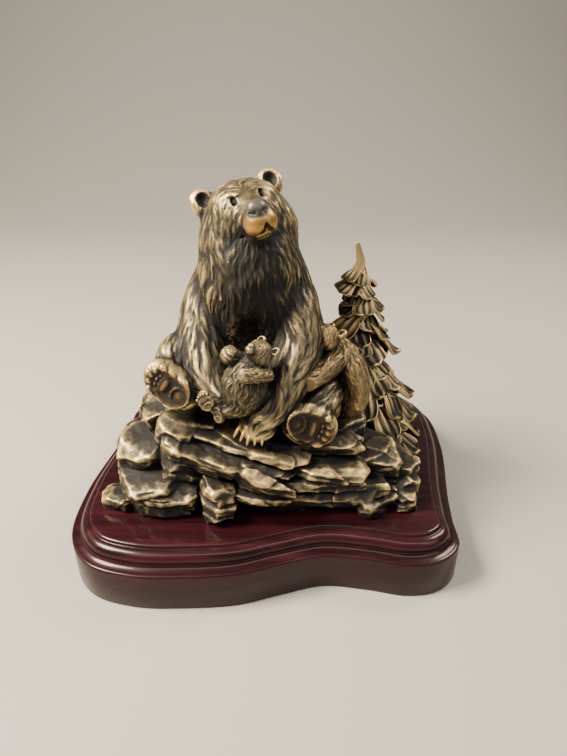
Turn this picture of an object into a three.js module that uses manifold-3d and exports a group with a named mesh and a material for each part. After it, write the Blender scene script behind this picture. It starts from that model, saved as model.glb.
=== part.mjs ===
// A mother bear sitting on layered rock with two cubs and a small spruce, cast in one piece
// and fixed on a moulded wooden base. Millimetres, +Z up, the front faces -Y.
// The origin is the middle of the base's underside.

import * as THREE from 'three';
import { mergeVertices } from 'three/addons/utils/BufferGeometryUtils.js';
import Module from 'manifold-3d';

const wasm = await Module();
wasm.setup();

// Driving dimensions of the base
const BASE_HEIGHT = 46.4;
const BASE_SIDE_HEIGHT = 31.4;
const BASE_RIM_INSET = 18;
const BASE_POINTS = 56;
// Half of the free-form outline, anticlockwise from the left side; the other half is its half turn
const BASE_HALF_OUTLINE = [
  [-153.5, -32], [-150.5, -82], [-132, -109], [-100, -120.5], [-62, -122], [-24, -119],
  [5, -110.5], [38, -102], [70, -105.5], [99, -111], [122, -107], [138, -92], [140, -66], [143, -38],
];
// Moulding from the side to the top, as inset and height: edge, cove, fillet, ovolo, ledge, rim
const COVE_START = [1, BASE_SIDE_HEIGHT + 0.8];
const COVE_END = [8, 36];
const OVOLO_RADIUS = 6.5;
const OVOLO_FOOT = 37.2;
const LEDGE_INSET = 15.5;

// Where the casting stands, and the gap that keeps it off the base
const GAP = 0.3;
const CASTING_FOOT = BASE_HEIGHT + GAP;
const CASTING_TRIANGLES = 8400;

// The mother's head: its centre, aim and size
const HEAD_CENTRE = [-16.7, 0, 245.6];
const HEAD_YAW = 14;
const HEAD_PITCH = 27;
const HEAD_ROLL = 14;

// Stations along each limb: x, y, z, half width, half depth
const TORSO = [
  [-14, 14, 92, 50, 42],
  [-15, 14, 122, 51, 43],
  [-15.5, 13, 150, 47, 41],
  [-16, 11, 176, 43, 38],
  [-16, 9, 197, 40, 35],
  [-15, 7, 214, 34, 31],
  [-15.5, 4, 232, 31, 29],
];
const RIGHT_ARM = [
  [-38, 6, 204, 16, 18],
  [-46, -4, 186, 18, 20],
  [-50, -18, 165, 18, 20],
  [-46, -38, 147, 17, 18],
  [-34, -55, 137, 12, 13],
];
const LEFT_ARM = [
  [8, 6, 203, 16, 18],
  [16, -6, 184, 18, 20],
  [19, -22, 162, 18, 19],
  [9.5, -45, 139, 14.5, 14.5],
  [-5, -60, 123, 10.5, 10],
];
const RIGHT_LEG = [
  [-45, 16, 118, 24, 26],
  [-60, -8, 140, 19, 22],
  [-68, -24, 153, 14, 17],
  [-71, -36, 148, 13, 15],
  [-72, -43, 146, 13, 14],
];
const LEFT_LEG = [
  [18, 14, 112, 24, 24],
  [36, -10, 121, 18, 20],
  [39, -28, 125, 14, 15],
  [36, -42, 121, 13, 14],
  [29, -50, 118, 13, 13],
];
const NECK = [
  [-16, 0, 240, 31, 27],
  [-15.5, -2, 222, 34, 33],
  [-15.5, 0, 200, 38, 35],
  [-15.5, 4, 180, 38, 34],
];

// Small helpers for building closed solids

function vec(point) {
  return new THREE.Vector3(point[0], point[1], point[2]);
}

function solidOf(geometry) {
  const bare = new THREE.BufferGeometry();
  bare.setAttribute('position', geometry.getAttribute('position').clone());
  if (geometry.index) bare.setIndex(geometry.index.clone());
  const merged = mergeVertices(bare, 1e-4);
  const vertProperties = Float32Array.from(merged.attributes.position.array);
  const triVerts = Uint32Array.from(merged.index.array);
  const mesh = new wasm.Mesh({ numProp: 3, vertProperties, triVerts });
  const solid = new wasm.Manifold(mesh);
  if (solid.volume() > 0) return solid;
  for (let i = 0; i < triVerts.length; i += 3) {
    [triVerts[i + 1], triVerts[i + 2]] = [triVerts[i + 2], triVerts[i + 1]];
  }
  return new wasm.Manifold(new wasm.Mesh({ numProp: 3, vertProperties, triVerts }));
}

function joined(solids) {
  return solids.reduce((whole, next) => whole.add(next));
}

function geometryOf(solid) {
  const mesh = solid.getMesh();
  const geometry = new THREE.BufferGeometry();
  geometry.setAttribute('position', new THREE.BufferAttribute(Float32Array.from(mesh.vertProperties), 3));
  geometry.setIndex(new THREE.BufferAttribute(Uint32Array.from(mesh.triVerts), 1));
  return geometry;
}

// The connected faces that make the outer body, without pockets sealed inside it
function largestBody(faces, pointCount) {
  const leader = Int32Array.from({ length: pointCount }, (unused, v) => v);
  const find = (v) => {
    let root = v;
    while (leader[root] !== root) root = leader[root];
    leader[v] = root;
    return root;
  };
  for (const [a, b, c] of faces) {
    leader[find(b)] = find(a);
    leader[find(c)] = find(a);
  }
  const sizes = new Map();
  faces.forEach((f) => sizes.set(find(f[0]), (sizes.get(find(f[0])) ?? 0) + 1));
  const biggest = [...sizes].sort((one, two) => two[1] - one[1])[0][0];
  return faces.filter((f) => find(f[0]) === biggest);
}

// Thins a closed mesh to a triangle count by merging the edges that change its form least.
// Each point carries the sum of its triangles' plane quadrics (ten numbers of a 4 x 4 matrix).
function lean(geometry, target) {
  const points = Float64Array.from(geometry.attributes.position.array);
  let faces = [];
  const flat = geometry.index.array;
  for (let i = 0; i < flat.length; i += 3) faces.push([flat[i], flat[i + 1], flat[i + 2]]);
  const pointCount = points.length / 3;
  faces = largestBody(faces, pointCount);
  const quadrics = new Float64Array(pointCount * 10);
  const at = (v) => new THREE.Vector3(points[3 * v], points[3 * v + 1], points[3 * v + 2]);

  function crossOf(a, b, c) {
    return b.clone().sub(a).cross(c.clone().sub(a));
  }

  for (const [a, b, c] of faces) {
    const cross = crossOf(at(a), at(b), at(c));
    const area = cross.length() / 2;
    const n = cross.normalize();
    const d = -n.dot(at(a));
    const plane = [n.x, n.y, n.z, d];
    let k = 0;
    for (let i = 0; i < 4; i++) {
      for (let j = i; j < 4; j++, k++) {
        for (const v of [a, b, c]) quadrics[10 * v + k] += area * plane[i] * plane[j];
      }
    }
  }

  function costOf(a, b, p) {
    const h = [p.x, p.y, p.z, 1];
    let sum = 0;
    let k = 0;
    for (let i = 0; i < 4; i++) {
      for (let j = i; j < 4; j++, k++) {
        const q = quadrics[10 * a + k] + quadrics[10 * b + k];
        sum += (i === j ? 1 : 2) * q * h[i] * h[j];
      }
    }
    return sum;
  }

  while (faces.length > target) {
    const ring = Array.from({ length: pointCount }, () => []);
    faces.forEach((f, i) => f.forEach((v) => ring[v].push(i)));
    const edges = [];
    for (const f of faces) {
      for (let k = 0; k < 3; k++) {
        const a = f[k];
        const b = f[(k + 1) % 3];
        if (a > b) continue;
        const spots = [at(a).add(at(b)).multiplyScalar(0.5), at(a), at(b)];
        const costs = spots.map((p) => costOf(a, b, p));
        const best = costs.indexOf(Math.min(...costs));
        const cost = Math.max(costs[best], 0) + 1e-4 * at(a).distanceToSquared(at(b));
        edges.push({ a, b, cost, spot: spots[best] });
      }
    }
    edges.sort((one, two) => one.cost - two.cost);
    const touched = new Uint8Array(pointCount);
    const dead = new Uint8Array(faces.length);
    let left = faces.length;
    const limit = edges[Math.floor(edges.length * 0.35)].cost;
    const neighbours = (v) => new Set(ring[v].flatMap((i) => faces[i]).filter((w) => w !== v));

    function flips(v, other, spot) {
      return ring[v].some((i) => {
        const f = faces[i];
        if (f.includes(other)) return false;
        const before = crossOf(...f.map(at));
        const after = crossOf(...f.map((w) => (w === v ? spot : at(w))));
        return before.dot(after) < 0.3 * before.length() * after.length() || after.length() < 1e-3;
      });
    }

    for (const { a, b, cost, spot } of edges) {
      if (left <= target || cost > limit) break;
      const nearA = neighbours(a);
      const nearB = neighbours(b);
      const shared = [...nearA].filter((v) => nearB.has(v));
      if (shared.length !== 2) continue;
      if ([...nearA, ...nearB].some((v) => touched[v])) continue;
      if (flips(a, b, spot) || flips(b, a, spot)) continue;
      for (const v of [...nearA, ...nearB]) touched[v] = 1;
      points.set(spot.toArray(), 3 * a);
      for (let k = 0; k < 10; k++) quadrics[10 * a + k] += quadrics[10 * b + k];
      for (const i of ring[b]) {
        if (faces[i].includes(a)) dead[i] = 1;
        else faces[i] = faces[i].map((v) => (v === b ? a : v));
      }
      left -= 2;
    }
    if (left === faces.length) break;
    faces = faces.filter((f, i) => !dead[i]);
  }

  const thin = new THREE.BufferGeometry();
  const used = new Map();
  faces.flat().forEach((v) => { if (!used.has(v)) used.set(v, used.size); });
  const kept = new Float32Array(used.size * 3);
  used.forEach((to, from) => kept.set(at(from).toArray(), 3 * to));
  thin.setAttribute('position', new THREE.BufferAttribute(kept, 3));
  thin.setIndex(faces.flat().map((v) => used.get(v)));
  return thin;
}

// A frame with Y forward, Z up and X to its own right
function placeOf(centre, forward, up, scale = 1) {
  const y = vec(forward).normalize();
  const x = new THREE.Vector3().crossVectors(y, vec(up)).normalize();
  const z = new THREE.Vector3().crossVectors(x, y);
  return new THREE.Matrix4()
    .makeBasis(x, y, z)
    .scale(new THREE.Vector3(scale, scale, scale))
    .setPosition(centre[0], centre[1], centre[2]);
}

function aimed(yaw, pitch, roll) {
  const rad = THREE.MathUtils.degToRad;
  const forward = new THREE.Vector3(
    Math.cos(rad(pitch)) * Math.sin(rad(yaw)),
    -Math.cos(rad(pitch)) * Math.cos(rad(yaw)),
    Math.sin(rad(pitch)),
  );
  const up = new THREE.Vector3(0, 0, 1).applyAxisAngle(forward, rad(roll));
  return { forward: forward.toArray(), up: up.toArray() };
}

function ball(centre, radii, place = new THREE.Matrix4(), sides = 12, rows = 8) {
  const geometry = new THREE.SphereGeometry(1, sides, rows);
  geometry.scale(radii[0], radii[1], radii[2]);
  geometry.translate(centre[0], centre[1], centre[2]);
  geometry.applyMatrix4(place);
  return solidOf(geometry);
}

// A limb of oval sections along a smooth spine, with round ends; its locks are ridges that wind
// along it, each one deeper where the coat is longer
function limb(stations, options = {}) {
  const { sides = 12, rings = 8, face = [0, -1, 0], locks = 0, depth = 0, twist = 0, ends = 0.8 } = options;
  const { capAngles = [60, 30] } = options;
  const spine = new THREE.CatmullRomCurve3(stations.map(vec));
  const sizes = new THREE.CatmullRomCurve3(stations.map((s) => new THREE.Vector3(s[3], s[4], 0)));
  const front = vec(face);
  const positions = [];
  const index = [];
  const caps = capAngles.map(THREE.MathUtils.degToRad);

  function frameAt(t) {
    const tangent = spine.getTangent(t);
    const side = new THREE.Vector3().crossVectors(tangent, front).normalize();
    const fore = new THREE.Vector3().crossVectors(side, tangent).normalize();
    return { centre: spine.getPoint(t), tangent, side, fore, size: sizes.getPoint(t) };
  }

  function addRing(t, shrink, push) {
    const f = frameAt(t);
    const reach = push * ends * Math.min(f.size.x, f.size.y);
    for (let i = 0; i < sides; i++) {
      const a = (i / sides) * 2 * Math.PI;
      const wave = Math.cos(locks * a + twist * Math.sin(5 * t + 2 * a));
      const swell = 1 + depth * wave * (locks ? 1 : 0);
      const p = f.centre.clone()
        .addScaledVector(f.tangent, reach)
        .addScaledVector(f.side, Math.cos(a) * f.size.x * shrink * swell)
        .addScaledVector(f.fore, Math.sin(a) * f.size.y * shrink * swell);
      positions.push(p.x, p.y, p.z);
    }
  }

  caps.forEach((a) => addRing(0, Math.cos(a), -Math.sin(a)));
  for (let r = 0; r <= rings; r++) addRing(r / rings, 1, 0);
  caps.slice().reverse().forEach((a) => addRing(1, Math.cos(a), Math.sin(a)));
  const ringCount = rings + 1 + 2 * caps.length;
  for (let r = 0; r + 1 < ringCount; r++) {
    for (let i = 0; i < sides; i++) {
      const a = r * sides + i;
      const b = r * sides + ((i + 1) % sides);
      index.push(a, b, b + sides, a, b + sides, a + sides);
    }
  }
  const poles = [0, 1].map((t) => {
    const f = frameAt(t);
    const reach = (t ? 1 : -1) * ends * Math.min(f.size.x, f.size.y);
    return f.centre.addScaledVector(f.tangent, reach);
  });
  const first = ringCount * sides;
  const last = (ringCount - 1) * sides;
  poles.forEach((p) => positions.push(p.x, p.y, p.z));
  for (let i = 0; i < sides; i++) {
    index.push(first, (i + 1) % sides, i);
    index.push(first + 1, last + i, last + ((i + 1) % sides));
  }
  const geometry = new THREE.BufferGeometry();
  geometry.setAttribute('position', new THREE.BufferAttribute(Float32Array.from(positions), 3));
  geometry.setIndex(index);
  return solidOf(geometry);
}

// A limb given in a place's own frame
function limbIn(place, stations, options) {
  const scale = new THREE.Vector3().setFromMatrixScale(place).x;
  const moved = stations.map((s) => {
    const p = vec(s).applyMatrix4(place);
    return [p.x, p.y, p.z, s[3] * scale, s[4] * scale];
  });
  return limb(moved, options);
}

// Repeatable rough numbers between -1 and 1
function rough(seed) {
  const s = Math.sin(seed * 127.1 + 311.7) * 43758.5453;
  return 2 * (s - Math.floor(s)) - 1;
}

// The wooden base

function baseOutline() {
  const half = BASE_HALF_OUTLINE.map(([x, y]) => new THREE.Vector3(x, y, 0));
  const other = BASE_HALF_OUTLINE.map(([x, y]) => new THREE.Vector3(-x, -y, 0));
  return new THREE.CatmullRomCurve3([...half, ...other], true, 'centripetal');
}

function baseProfile() {
  const profile = [[0, 0], [0, BASE_SIDE_HEIGHT], COVE_START];
  for (const k of [1, 2, 3]) {
    const a = (k / 3) * (Math.PI / 2);
    const inset = COVE_START[0] + (COVE_END[0] - COVE_START[0]) * Math.sin(a);
    const height = COVE_START[1] + (COVE_END[1] - COVE_START[1]) * (1 - Math.cos(a));
    profile.push([inset, height]);
  }
  for (const k of [0, 1, 2, 3]) {
    const a = (k / 3) * (Math.PI / 2);
    const inset = COVE_END[0] + OVOLO_RADIUS * (1 - Math.cos(a));
    profile.push([inset, OVOLO_FOOT + OVOLO_RADIUS * Math.sin(a)]);
  }
  profile.push([LEDGE_INSET, OVOLO_FOOT + OVOLO_RADIUS]);
  profile.push([LEDGE_INSET, BASE_HEIGHT - 1.2]);
  profile.push([BASE_RIM_INSET, BASE_HEIGHT]);
  return profile;
}

function woodenBase() {
  const outline = baseOutline();
  const profile = baseProfile();
  const positions = [];
  const index = [];
  for (const [inset, height] of profile) {
    for (let i = 0; i < BASE_POINTS; i++) {
      const p = outline.getPointAt(i / BASE_POINTS);
      const t = outline.getTangentAt(i / BASE_POINTS);
      positions.push(p.x - t.y * inset, p.y + t.x * inset, height);
    }
  }
  for (let r = 0; r + 1 < profile.length; r++) {
    for (let i = 0; i < BASE_POINTS; i++) {
      const a = r * BASE_POINTS + i;
      const b = r * BASE_POINTS + ((i + 1) % BASE_POINTS);
      index.push(a, b, b + BASE_POINTS, a, b + BASE_POINTS, a + BASE_POINTS);
    }
  }
  const underside = positions.length / 3;
  const last = (profile.length - 1) * BASE_POINTS;
  positions.push(0, 0, 0, 0, 0, BASE_HEIGHT);
  for (let i = 0; i < BASE_POINTS; i++) {
    const next = (i + 1) % BASE_POINTS;
    index.push(underside, next, i);
    index.push(underside + 1, last + i, last + next);
  }
  const geometry = new THREE.BufferGeometry();
  geometry.setAttribute('position', new THREE.BufferAttribute(Float32Array.from(positions), 3));
  geometry.setIndex(index);
  return geometry;
}

// Bear parts that the mother and the cubs share

// A head in its own frame, sized for the mother: skull, cheek ruff, muzzle, nose, jaw, ears, eyes
function bearHead(place, fine = 1, snout = 1) {
  const sides = Math.round(18 * fine);
  const rows = Math.round(12 * fine);
  const up = upOf(place);
  const fore = (y) => 12 + (y - 12) * snout;
  const solids = [ball([0, 0, 1], [28, 29, 27], place, sides, rows)];
  for (const s of [-1, 1]) {
    solids.push(ball([s * 15, -2, -7], [17.5, 19, 17], place, sides - 4, rows - 2));
    solids.push(ball([s * 10, fore(14), 12], [9, 9, 6], place, sides - 6, rows - 4));
    solids.push(ball([s * 4.2, fore(36.5), -10.6], [6.6, 7.2, 7], place, sides - 8, rows - 5));
  }
  solids.push(limbIn(place, [
    [0, 12, 4, 15, 14],
    [0, fore(24), -3, 12, 12],
    [0, fore(34), -7, 10.5, 10.5],
    [0, fore(41), -8, 8.5, 9],
  ], { sides: sides - 4, rings: 4, face: up, ends: 0.4 }));
  solids.push(ball([-1, fore(43.6), -1.2], [7.2, 4.4, 5.4], place, 10, 6));
  solids.push(limbIn(place, [
    [0, 6, -13, 15, 11],
    [0, fore(20), -15.5, 10, 7],
    [0, fore(30), -17, 7, 4.5],
  ], { sides: sides - 6, rings: 3, face: up, ends: 0.6 }));
  for (const s of [-1, 1]) {
    const ear = ball([s * 24, -6, 25], [10, 5, 10], place, 12, 8);
    const hollow = ball([s * 24.6, -0.8, 25.6], [6.6, 5, 7], place, 10, 6);
    solids.push(ear.subtract(hollow));
  }
  const eyes = [-1, 1].map((s) => ball([s * 9.2, fore(26.5), 11.5], [2.2, 2.6, 1.8], place, 6, 4));
  return eyes.reduce((head, eye) => head.subtract(eye), joined(solids));
}

function upOf(place) {
  return new THREE.Vector3().setFromMatrixColumn(place, 2).normalize().toArray();
}

// A hind foot seen from below: a thick oval disc, hollowed, with heel, main and toe pads.
// In its own frame Y is the sole's outward normal and Z points from heel to toes.
function hindFoot(place, length, width) {
  const disc = ball([0, -5, 0], [width / 2, 9, length / 2], place, 18, 10);
  const dish = ball([0, 5, 0], [width / 2 - 1.2, 4.6, length / 2 - 1.2], place, 16, 8);
  const solids = [disc.subtract(dish)];
  solids.push(ball([0, 0, -length * 0.24], [width * 0.2, 2.8, length * 0.12], place, 8, 6));
  solids.push(ball([0, 0, length * 0.06], [width * 0.28, 3, length * 0.09], place, 10, 6));
  for (let i = 0; i < 5; i++) {
    const across = (i - 2) * width * 0.155;
    const along = length * (0.27 - 0.02 * (i - 2) ** 2);
    solids.push(ball([across, 0, along], [width * 0.065, 2.6, length * 0.055], place, 6, 4));
  }
  return joined(solids);
}

// Five curved claws fanned side by side from the knuckles of a paw
function claws(place, count, spread, length) {
  const solids = [];
  for (let i = 0; i < count; i++) {
    const u = i / (count - 1) - 0.5;
    const x = u * spread;
    const back = -2.5 * Math.abs(u) * 2;
    solids.push(limbIn(place, [
      [x, back - 3, -1.2, 1.3, 1.3],
      [x, back + length * 0.4, 1.8, 1.3, 1.4],
      [x, back + length, -1, 0.5, 0.5],
    ], { sides: 5, rings: 2, face: upOf(place), ends: 0.6, capAngles: [] }));
  }
  return solids;
}

// The mother

function mother() {
  const aim = aimed(HEAD_YAW, HEAD_PITCH, HEAD_ROLL);
  const headPlace = placeOf(HEAD_CENTRE, aim.forward, aim.up);
  const armCoat = { sides: 24, rings: 10, locks: 8, depth: 0.06, twist: 0.8 };
  const legCoat = { sides: 20, rings: 8, face: [0, 0, 1], locks: 6, depth: 0.05 };
  const pawPlace = placeOf([-10.5, -63, 116.5], [-0.32, -0.72, -0.62], [0, -0.62, 0.78]);
  const clawPlace = placeOf([-14.6, -66.5, 115.2], [-0.27, -0.6, -0.76], [0.05, -0.79, 0.6]);
  const solids = [
    limb(TORSO, { sides: 48, rings: 14, locks: 14, depth: 0.025, twist: 0.8 }),
    limb(NECK, { sides: 40, rings: 8, locks: 12, depth: 0.025 }),
    ball([-36, 6, 196], [15, 16, 18]),
    ball([7, 6, 195], [15, 16, 18]),
    bearHead(headPlace, 1.1),
    limb(RIGHT_ARM, armCoat),
    limb(LEFT_ARM, armCoat),
    limb(RIGHT_LEG, legCoat),
    limb(LEFT_LEG, legCoat),
    ball([0, -1, 0], [11.5, 9, 6.2], pawPlace, 12, 8),
    ...claws(clawPlace, 5, 16.5, 9.6),
    hindFoot(placeOf([-71.5, -56, 146], [-0.25, -0.95, 0.15], [-0.8, 0, 0.58]), 42, 29),
    hindFoot(placeOf([27.5, -63, 117], [0.05, -0.98, 0.15], [0.93, 0, -0.33]), 40, 30),
  ];
  return joined(solids).subtract(ball([-14, -37, 170], [14, 12, 20]));
}

// The cub on its back in the mother's lap
function lapCub() {
  const headPlace = placeOf([-7.5, -56, 172.5], [-0.43, -0.53, 0.73], [0.66, 0.37, 0.65], 0.31);
  const solids = [
    bearHead(headPlace, 0.75, 0.8),
    limb([
      [-9, -54, 166, 8, 8],
      [-14, -55, 159, 12, 12],
      [-18, -57, 149, 15.5, 14],
      [-20, -58, 140, 14, 13],
      [-21, -56, 133, 9, 10],
    ], { sides: 16, rings: 7, locks: 6, depth: 0.04 }),
    limb([
      [-15, -54, 161, 5.5, 5.5],
      [-23, -54, 167, 5.2, 5.2],
      [-28, -55, 170.5, 5.4, 5.6],
    ], { sides: 10, rings: 3, face: [0, -1, 0.2] }),
    limb([
      [-2, -62, 159, 4.2, 4.2],
      [-9, -69, 162.5, 4.2, 4],
      [-17, -71.5, 163.5, 4.2, 3.6],
    ], { sides: 10, rings: 3, face: [0, -1, 0.2] }),
    limb([
      [-22, -58, 139, 9, 9],
      [-34, -60, 140, 7, 7],
      [-44, -61, 140, 6.5, 7],
    ], { sides: 10, rings: 4, face: [0, -1, 0.2] }),
    limb([
      [-20, -62, 135, 7, 7],
      [-28, -64, 133.5, 5.5, 6.5],
      [-35, -63, 132.5, 4.6, 7],
    ], { sides: 10, rings: 4, face: [0, -1, 0.2] }),
  ];
  return joined(solids);
}

// The cub that leans on the mother's knee and looks up at her
function leaningCub() {
  const headPlace = placeOf([42.5, -22, 166], [-0.5, -0.25, 0.8], [0.62, 0.45, 0.62], 0.37);
  const solids = [
    bearHead(headPlace, 0.75, 0.8),
    limb([
      [46, -12, 160, 9, 9],
      [54, -14, 150, 10, 10],
      [58, -6, 134, 12, 12],
      [60, 2, 116, 13, 13],
      [60, 4, 96, 12, 13],
    ], { sides: 14, rings: 7, locks: 6, depth: 0.04 }),
    limb([
      [54, -17, 150, 7, 7],
      [45, -28, 147, 7.5, 6.5],
      [36, -38, 145, 7, 6],
      [26, -46, 142.5, 6, 5],
      [19, -50, 141, 4.5, 4],
    ], { sides: 12, rings: 6, face: [0, -0.4, 1] }),
    limb([
      [56, -17, 150, 7, 7],
      [61, -23, 142, 7.5, 7],
      [64, -29, 132, 7, 7],
      [64.5, -32, 122, 6, 6.5],
      [64.5, -34, 112, 5.5, 6],
      [63, -37, 105, 6, 7],
    ], { sides: 12, rings: 7 }),
  ];
  return joined(solids);
}

// Rock: slabs with chipped outlines, stacked in tilted courses

// Rows hold the slab's middle, its length, width and thickness, then yaw, dip to the front and
// dip to the right, in degrees
const ROCKS = [
  [-112, -62, 52, 34, 26, 13, 14, 0, 0],
  [-80, -68, 57, 56, 30, 22, -8, 4, 0],
  [-90, -58, 68, 52, 38, 14, 10, 10, -6],
  [-39, -74, 61, 26, 26, 34, 28, 8, 6],
  [4, -56, 62, 70, 42, 30, 4, 0, 0],
  [42, -62, 63, 86, 34, 14, 5, 6, -2],
  [56, -58, 54, 74, 34, 18, -4, 0, 0],
  [74, -70, 54, 24, 18, 16, 18, 0, 6],
  [99, -64, 53, 27, 19, 13, -10, 0, 0],
  [104, -50, 57, 20, 24, 19, 20, 0, 10],
  [92, -36, 60, 40, 44, 26, 12, 0, 4],
  [60, -32, 68, 74, 54, 34, -8, 0, 0],
  [-98, -22, 64, 54, 60, 34, 8, 0, 0],
  [-56, -34, 68, 76, 62, 42, 0, 0, 0],
  [84, 0, 58, 56, 56, 24, 10, 0, 0],
  [-78, 28, 62, 76, 58, 34, 14, -4, 0],
  [-20, 42, 66, 96, 52, 42, -6, -6, 0],
  [40, 36, 62, 70, 56, 34, 10, -4, 0],
  [-97, -38, 83, 46, 46, 24, 16, 14, -12],
  [-86, -26, 105, 32, 40, 26, 22, 10, -16],
  [-52, -64, 92, 62, 20, 18, -18, 18, 14],
  [-68, -50, 100, 34, 24, 26, -26, 14, 10],
  [-44, -56, 98, 58, 22, 8, -16, 10, 12],
  [-22, -60, 101, 96, 24, 9, -14, 12, 10],
  [-8, -62, 86, 66, 28, 14, -4, 8, 10],
  [-4, -80, 78, 48, 10, 22, -6, 24, 22],
  [-6, -76, 66, 40, 16, 10, -4, 6, 8],
  [38, -62, 85, 66, 32, 11, -6, 8, 4],
  [34, -64, 75, 76, 30, 11, 3, 6, 2],
  [82, -44, 74, 38, 36, 20, 6, 10, 4],
  [-70, 10, 86, 76, 70, 28, -8, 0, -4],
  [-62, -38, 109, 46, 30, 12, -14, 6, 6],
  [24, -48, 97, 84, 36, 12, -2, 6, 3],
  [44, -24, 94, 60, 52, 20, 6, 0, 2],
  [-14, 8, 92, 120, 84, 36, 4, 0, 0],
];

function slab(row, seed) {
  const [x, y, z, length, width, thickness, yaw, dipFront, dipRight] = row;
  const rad = THREE.MathUtils.degToRad;
  const corners = 8;
  const bevel = Math.min(2.6, thickness * 0.18);
  const outline = [];
  for (let i = 0; i < corners; i++) {
    const a = ((i + 0.5 + 0.32 * rough(seed * 13 + i)) / corners) * 2 * Math.PI;
    const square = 1 / Math.max(Math.abs(Math.cos(a)), Math.abs(Math.sin(a)));
    const r = 0.5 * Math.min(square, 1.22) * (1 + 0.12 * rough(seed * 7 + i * 3));
    const px = r * Math.cos(a) * (length - 2 * bevel);
    const py = r * Math.sin(a) * (width - 2 * bevel);
    outline.push(new THREE.Vector2(px, py));
  }
  const geometry = new THREE.ExtrudeGeometry(new THREE.Shape(outline), {
    depth: thickness - 2 * bevel, steps: 1, bevelEnabled: true, bevelSegments: 1,
    bevelThickness: bevel, bevelSize: bevel,
  });
  geometry.translate(0, 0, bevel - thickness / 2);
  geometry.rotateX(rad(dipFront));
  geometry.rotateY(rad(dipRight));
  geometry.rotateZ(rad(yaw));
  geometry.translate(x, y, z);
  return solidOf(geometry);
}

function rocks() {
  return joined(ROCKS.map((row, i) => slab(row, i + 1)));
}

// The spruce: a leaning stem with tiers of broad drooping boughs that lie over each other

const SPRUCE_FOOT = [78, 22, 46];
const SPRUCE_TIP = [63.5, 24, 224];
// Rows hold the height of a tier's tips, their reach from the stem, how many boughs it has, the
// direction of the first one in degrees, and a bough's length and half width
const SPRUCE_TIERS = [
  [51, 49, 8, 6, 36, 12.5],
  [69, 46, 8, -16, 36, 12.5],
  [88, 40, 7, 6, 35, 12.5],
  [106, 34, 7, -20, 33, 12],
  [127, 29, 6, 0, 31, 12],
  [148, 22.5, 6, -30, 28, 11],
  [167, 17, 5, -10, 24, 9.5],
  [182, 14, 4, -50, 20, 8.5],
];

// One bough: a tongue that leaves the stem, arches out and hangs down to a rounded tip
function bough(foot, yaw, reach, height, length, halfWidth) {
  const rad = THREE.MathUtils.degToRad;
  const out = new THREE.Vector3(Math.cos(rad(yaw)), Math.sin(rad(yaw)), 0);
  const at = (back, rise) => {
    const along = reach - back * length;
    return [foot.x + out.x * along, foot.y + out.y * along, height + rise * length];
  };
  const stations = [
    [...at(0.95, 0.66), halfWidth * 0.5, 2.6],
    [...at(0.66, 0.62), halfWidth * 0.86, 2.6],
    [...at(0.32, 0.34), halfWidth * 1.05, 2.2],
    [...at(0, 0), halfWidth * 0.6, 1.6],
  ];
  return limb(stations, { sides: 8, rings: 4, face: [0, 0, 1], ends: 0.5, capAngles: [] });
}

function spruce() {
  const foot = vec(SPRUCE_FOOT);
  const tip = vec(SPRUCE_TIP);
  const stemAt = (level) => foot.clone().lerp(tip, level);
  const stem = limb([
    [...stemAt(0).toArray(), 30, 30],
    [...stemAt(0.4).toArray(), 15, 15],
    [...stemAt(0.78).toArray(), 5, 5],
    [...stemAt(0.9).toArray(), 3.5, 3.5],
  ], { sides: 12, rings: 8, ends: 0.5 });
  // The leader is a twisted leaf that stands up from the top, with a second one under it
  const leader = limb([
    [63.6, 22, 224.5, 1.6, 1.6],
    [66.4, 22, 215, 2.6, 2.2],
    [67, 21.5, 208, 3.6, 2.8],
    [62, 19, 202, 4.6, 3],
    [55, 17, 197, 2.6, 1.8],
  ], { sides: 8, rings: 7, face: [0.2, -1, 0.5], ends: 0.5 });
  const second = limb([
    [67, 24, 204, 3, 2.8],
    [63, 18, 198, 4.6, 3],
    [56.5, 14, 192, 4, 2.6],
    [51.5, 13, 188.5, 2, 1.6],
  ], { sides: 8, rings: 6, face: [0.2, -1, 0.6], ends: 0.5 });
  const solids = [stem, leader, second];
  SPRUCE_TIERS.forEach(([height, reach, count, first, length, halfWidth], tier) => {
    const centre = stemAt((height - foot.z) / (tip.z - foot.z));
    for (let i = 0; i < count; i++) {
      const seed = tier * 20 + i;
      const yaw = first + ((i + 0.16 * rough(seed)) / count) * 360;
      const swing = 1 + 0.07 * rough(seed + 90);
      const drop = 4 * rough(seed + 50);
      solids.push(bough(centre, yaw, reach * swing, height + drop, length * swing, halfWidth));
    }
  });
  return joined(solids);
}

function bearCasting() {
  const whole = joined([rocks(), mother(), lapCub(), leaningCub(), spruce()]);
  const below = new THREE.BoxGeometry(400, 400, 100);
  below.translate(0, 0, CASTING_FOOT - 50);
  return lean(geometryOf(whole.subtract(solidOf(below))), CASTING_TRIANGLES);
}

const wood = new THREE.MeshStandardMaterial({ color: 0x3a1418, roughness: 0.25, metalness: 0 });
const bronze = new THREE.MeshStandardMaterial({ color: 0x6b5a3c, roughness: 0.4, metalness: 0.8 });

const base = new THREE.Mesh(woodenBase(), wood);
base.name = 'wooden_base';

const casting = new THREE.Mesh(bearCasting(), bronze);
casting.name = 'bear_casting';

const sculpture = new THREE.Group();
sculpture.add(base, casting);

export default sculpture;
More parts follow.
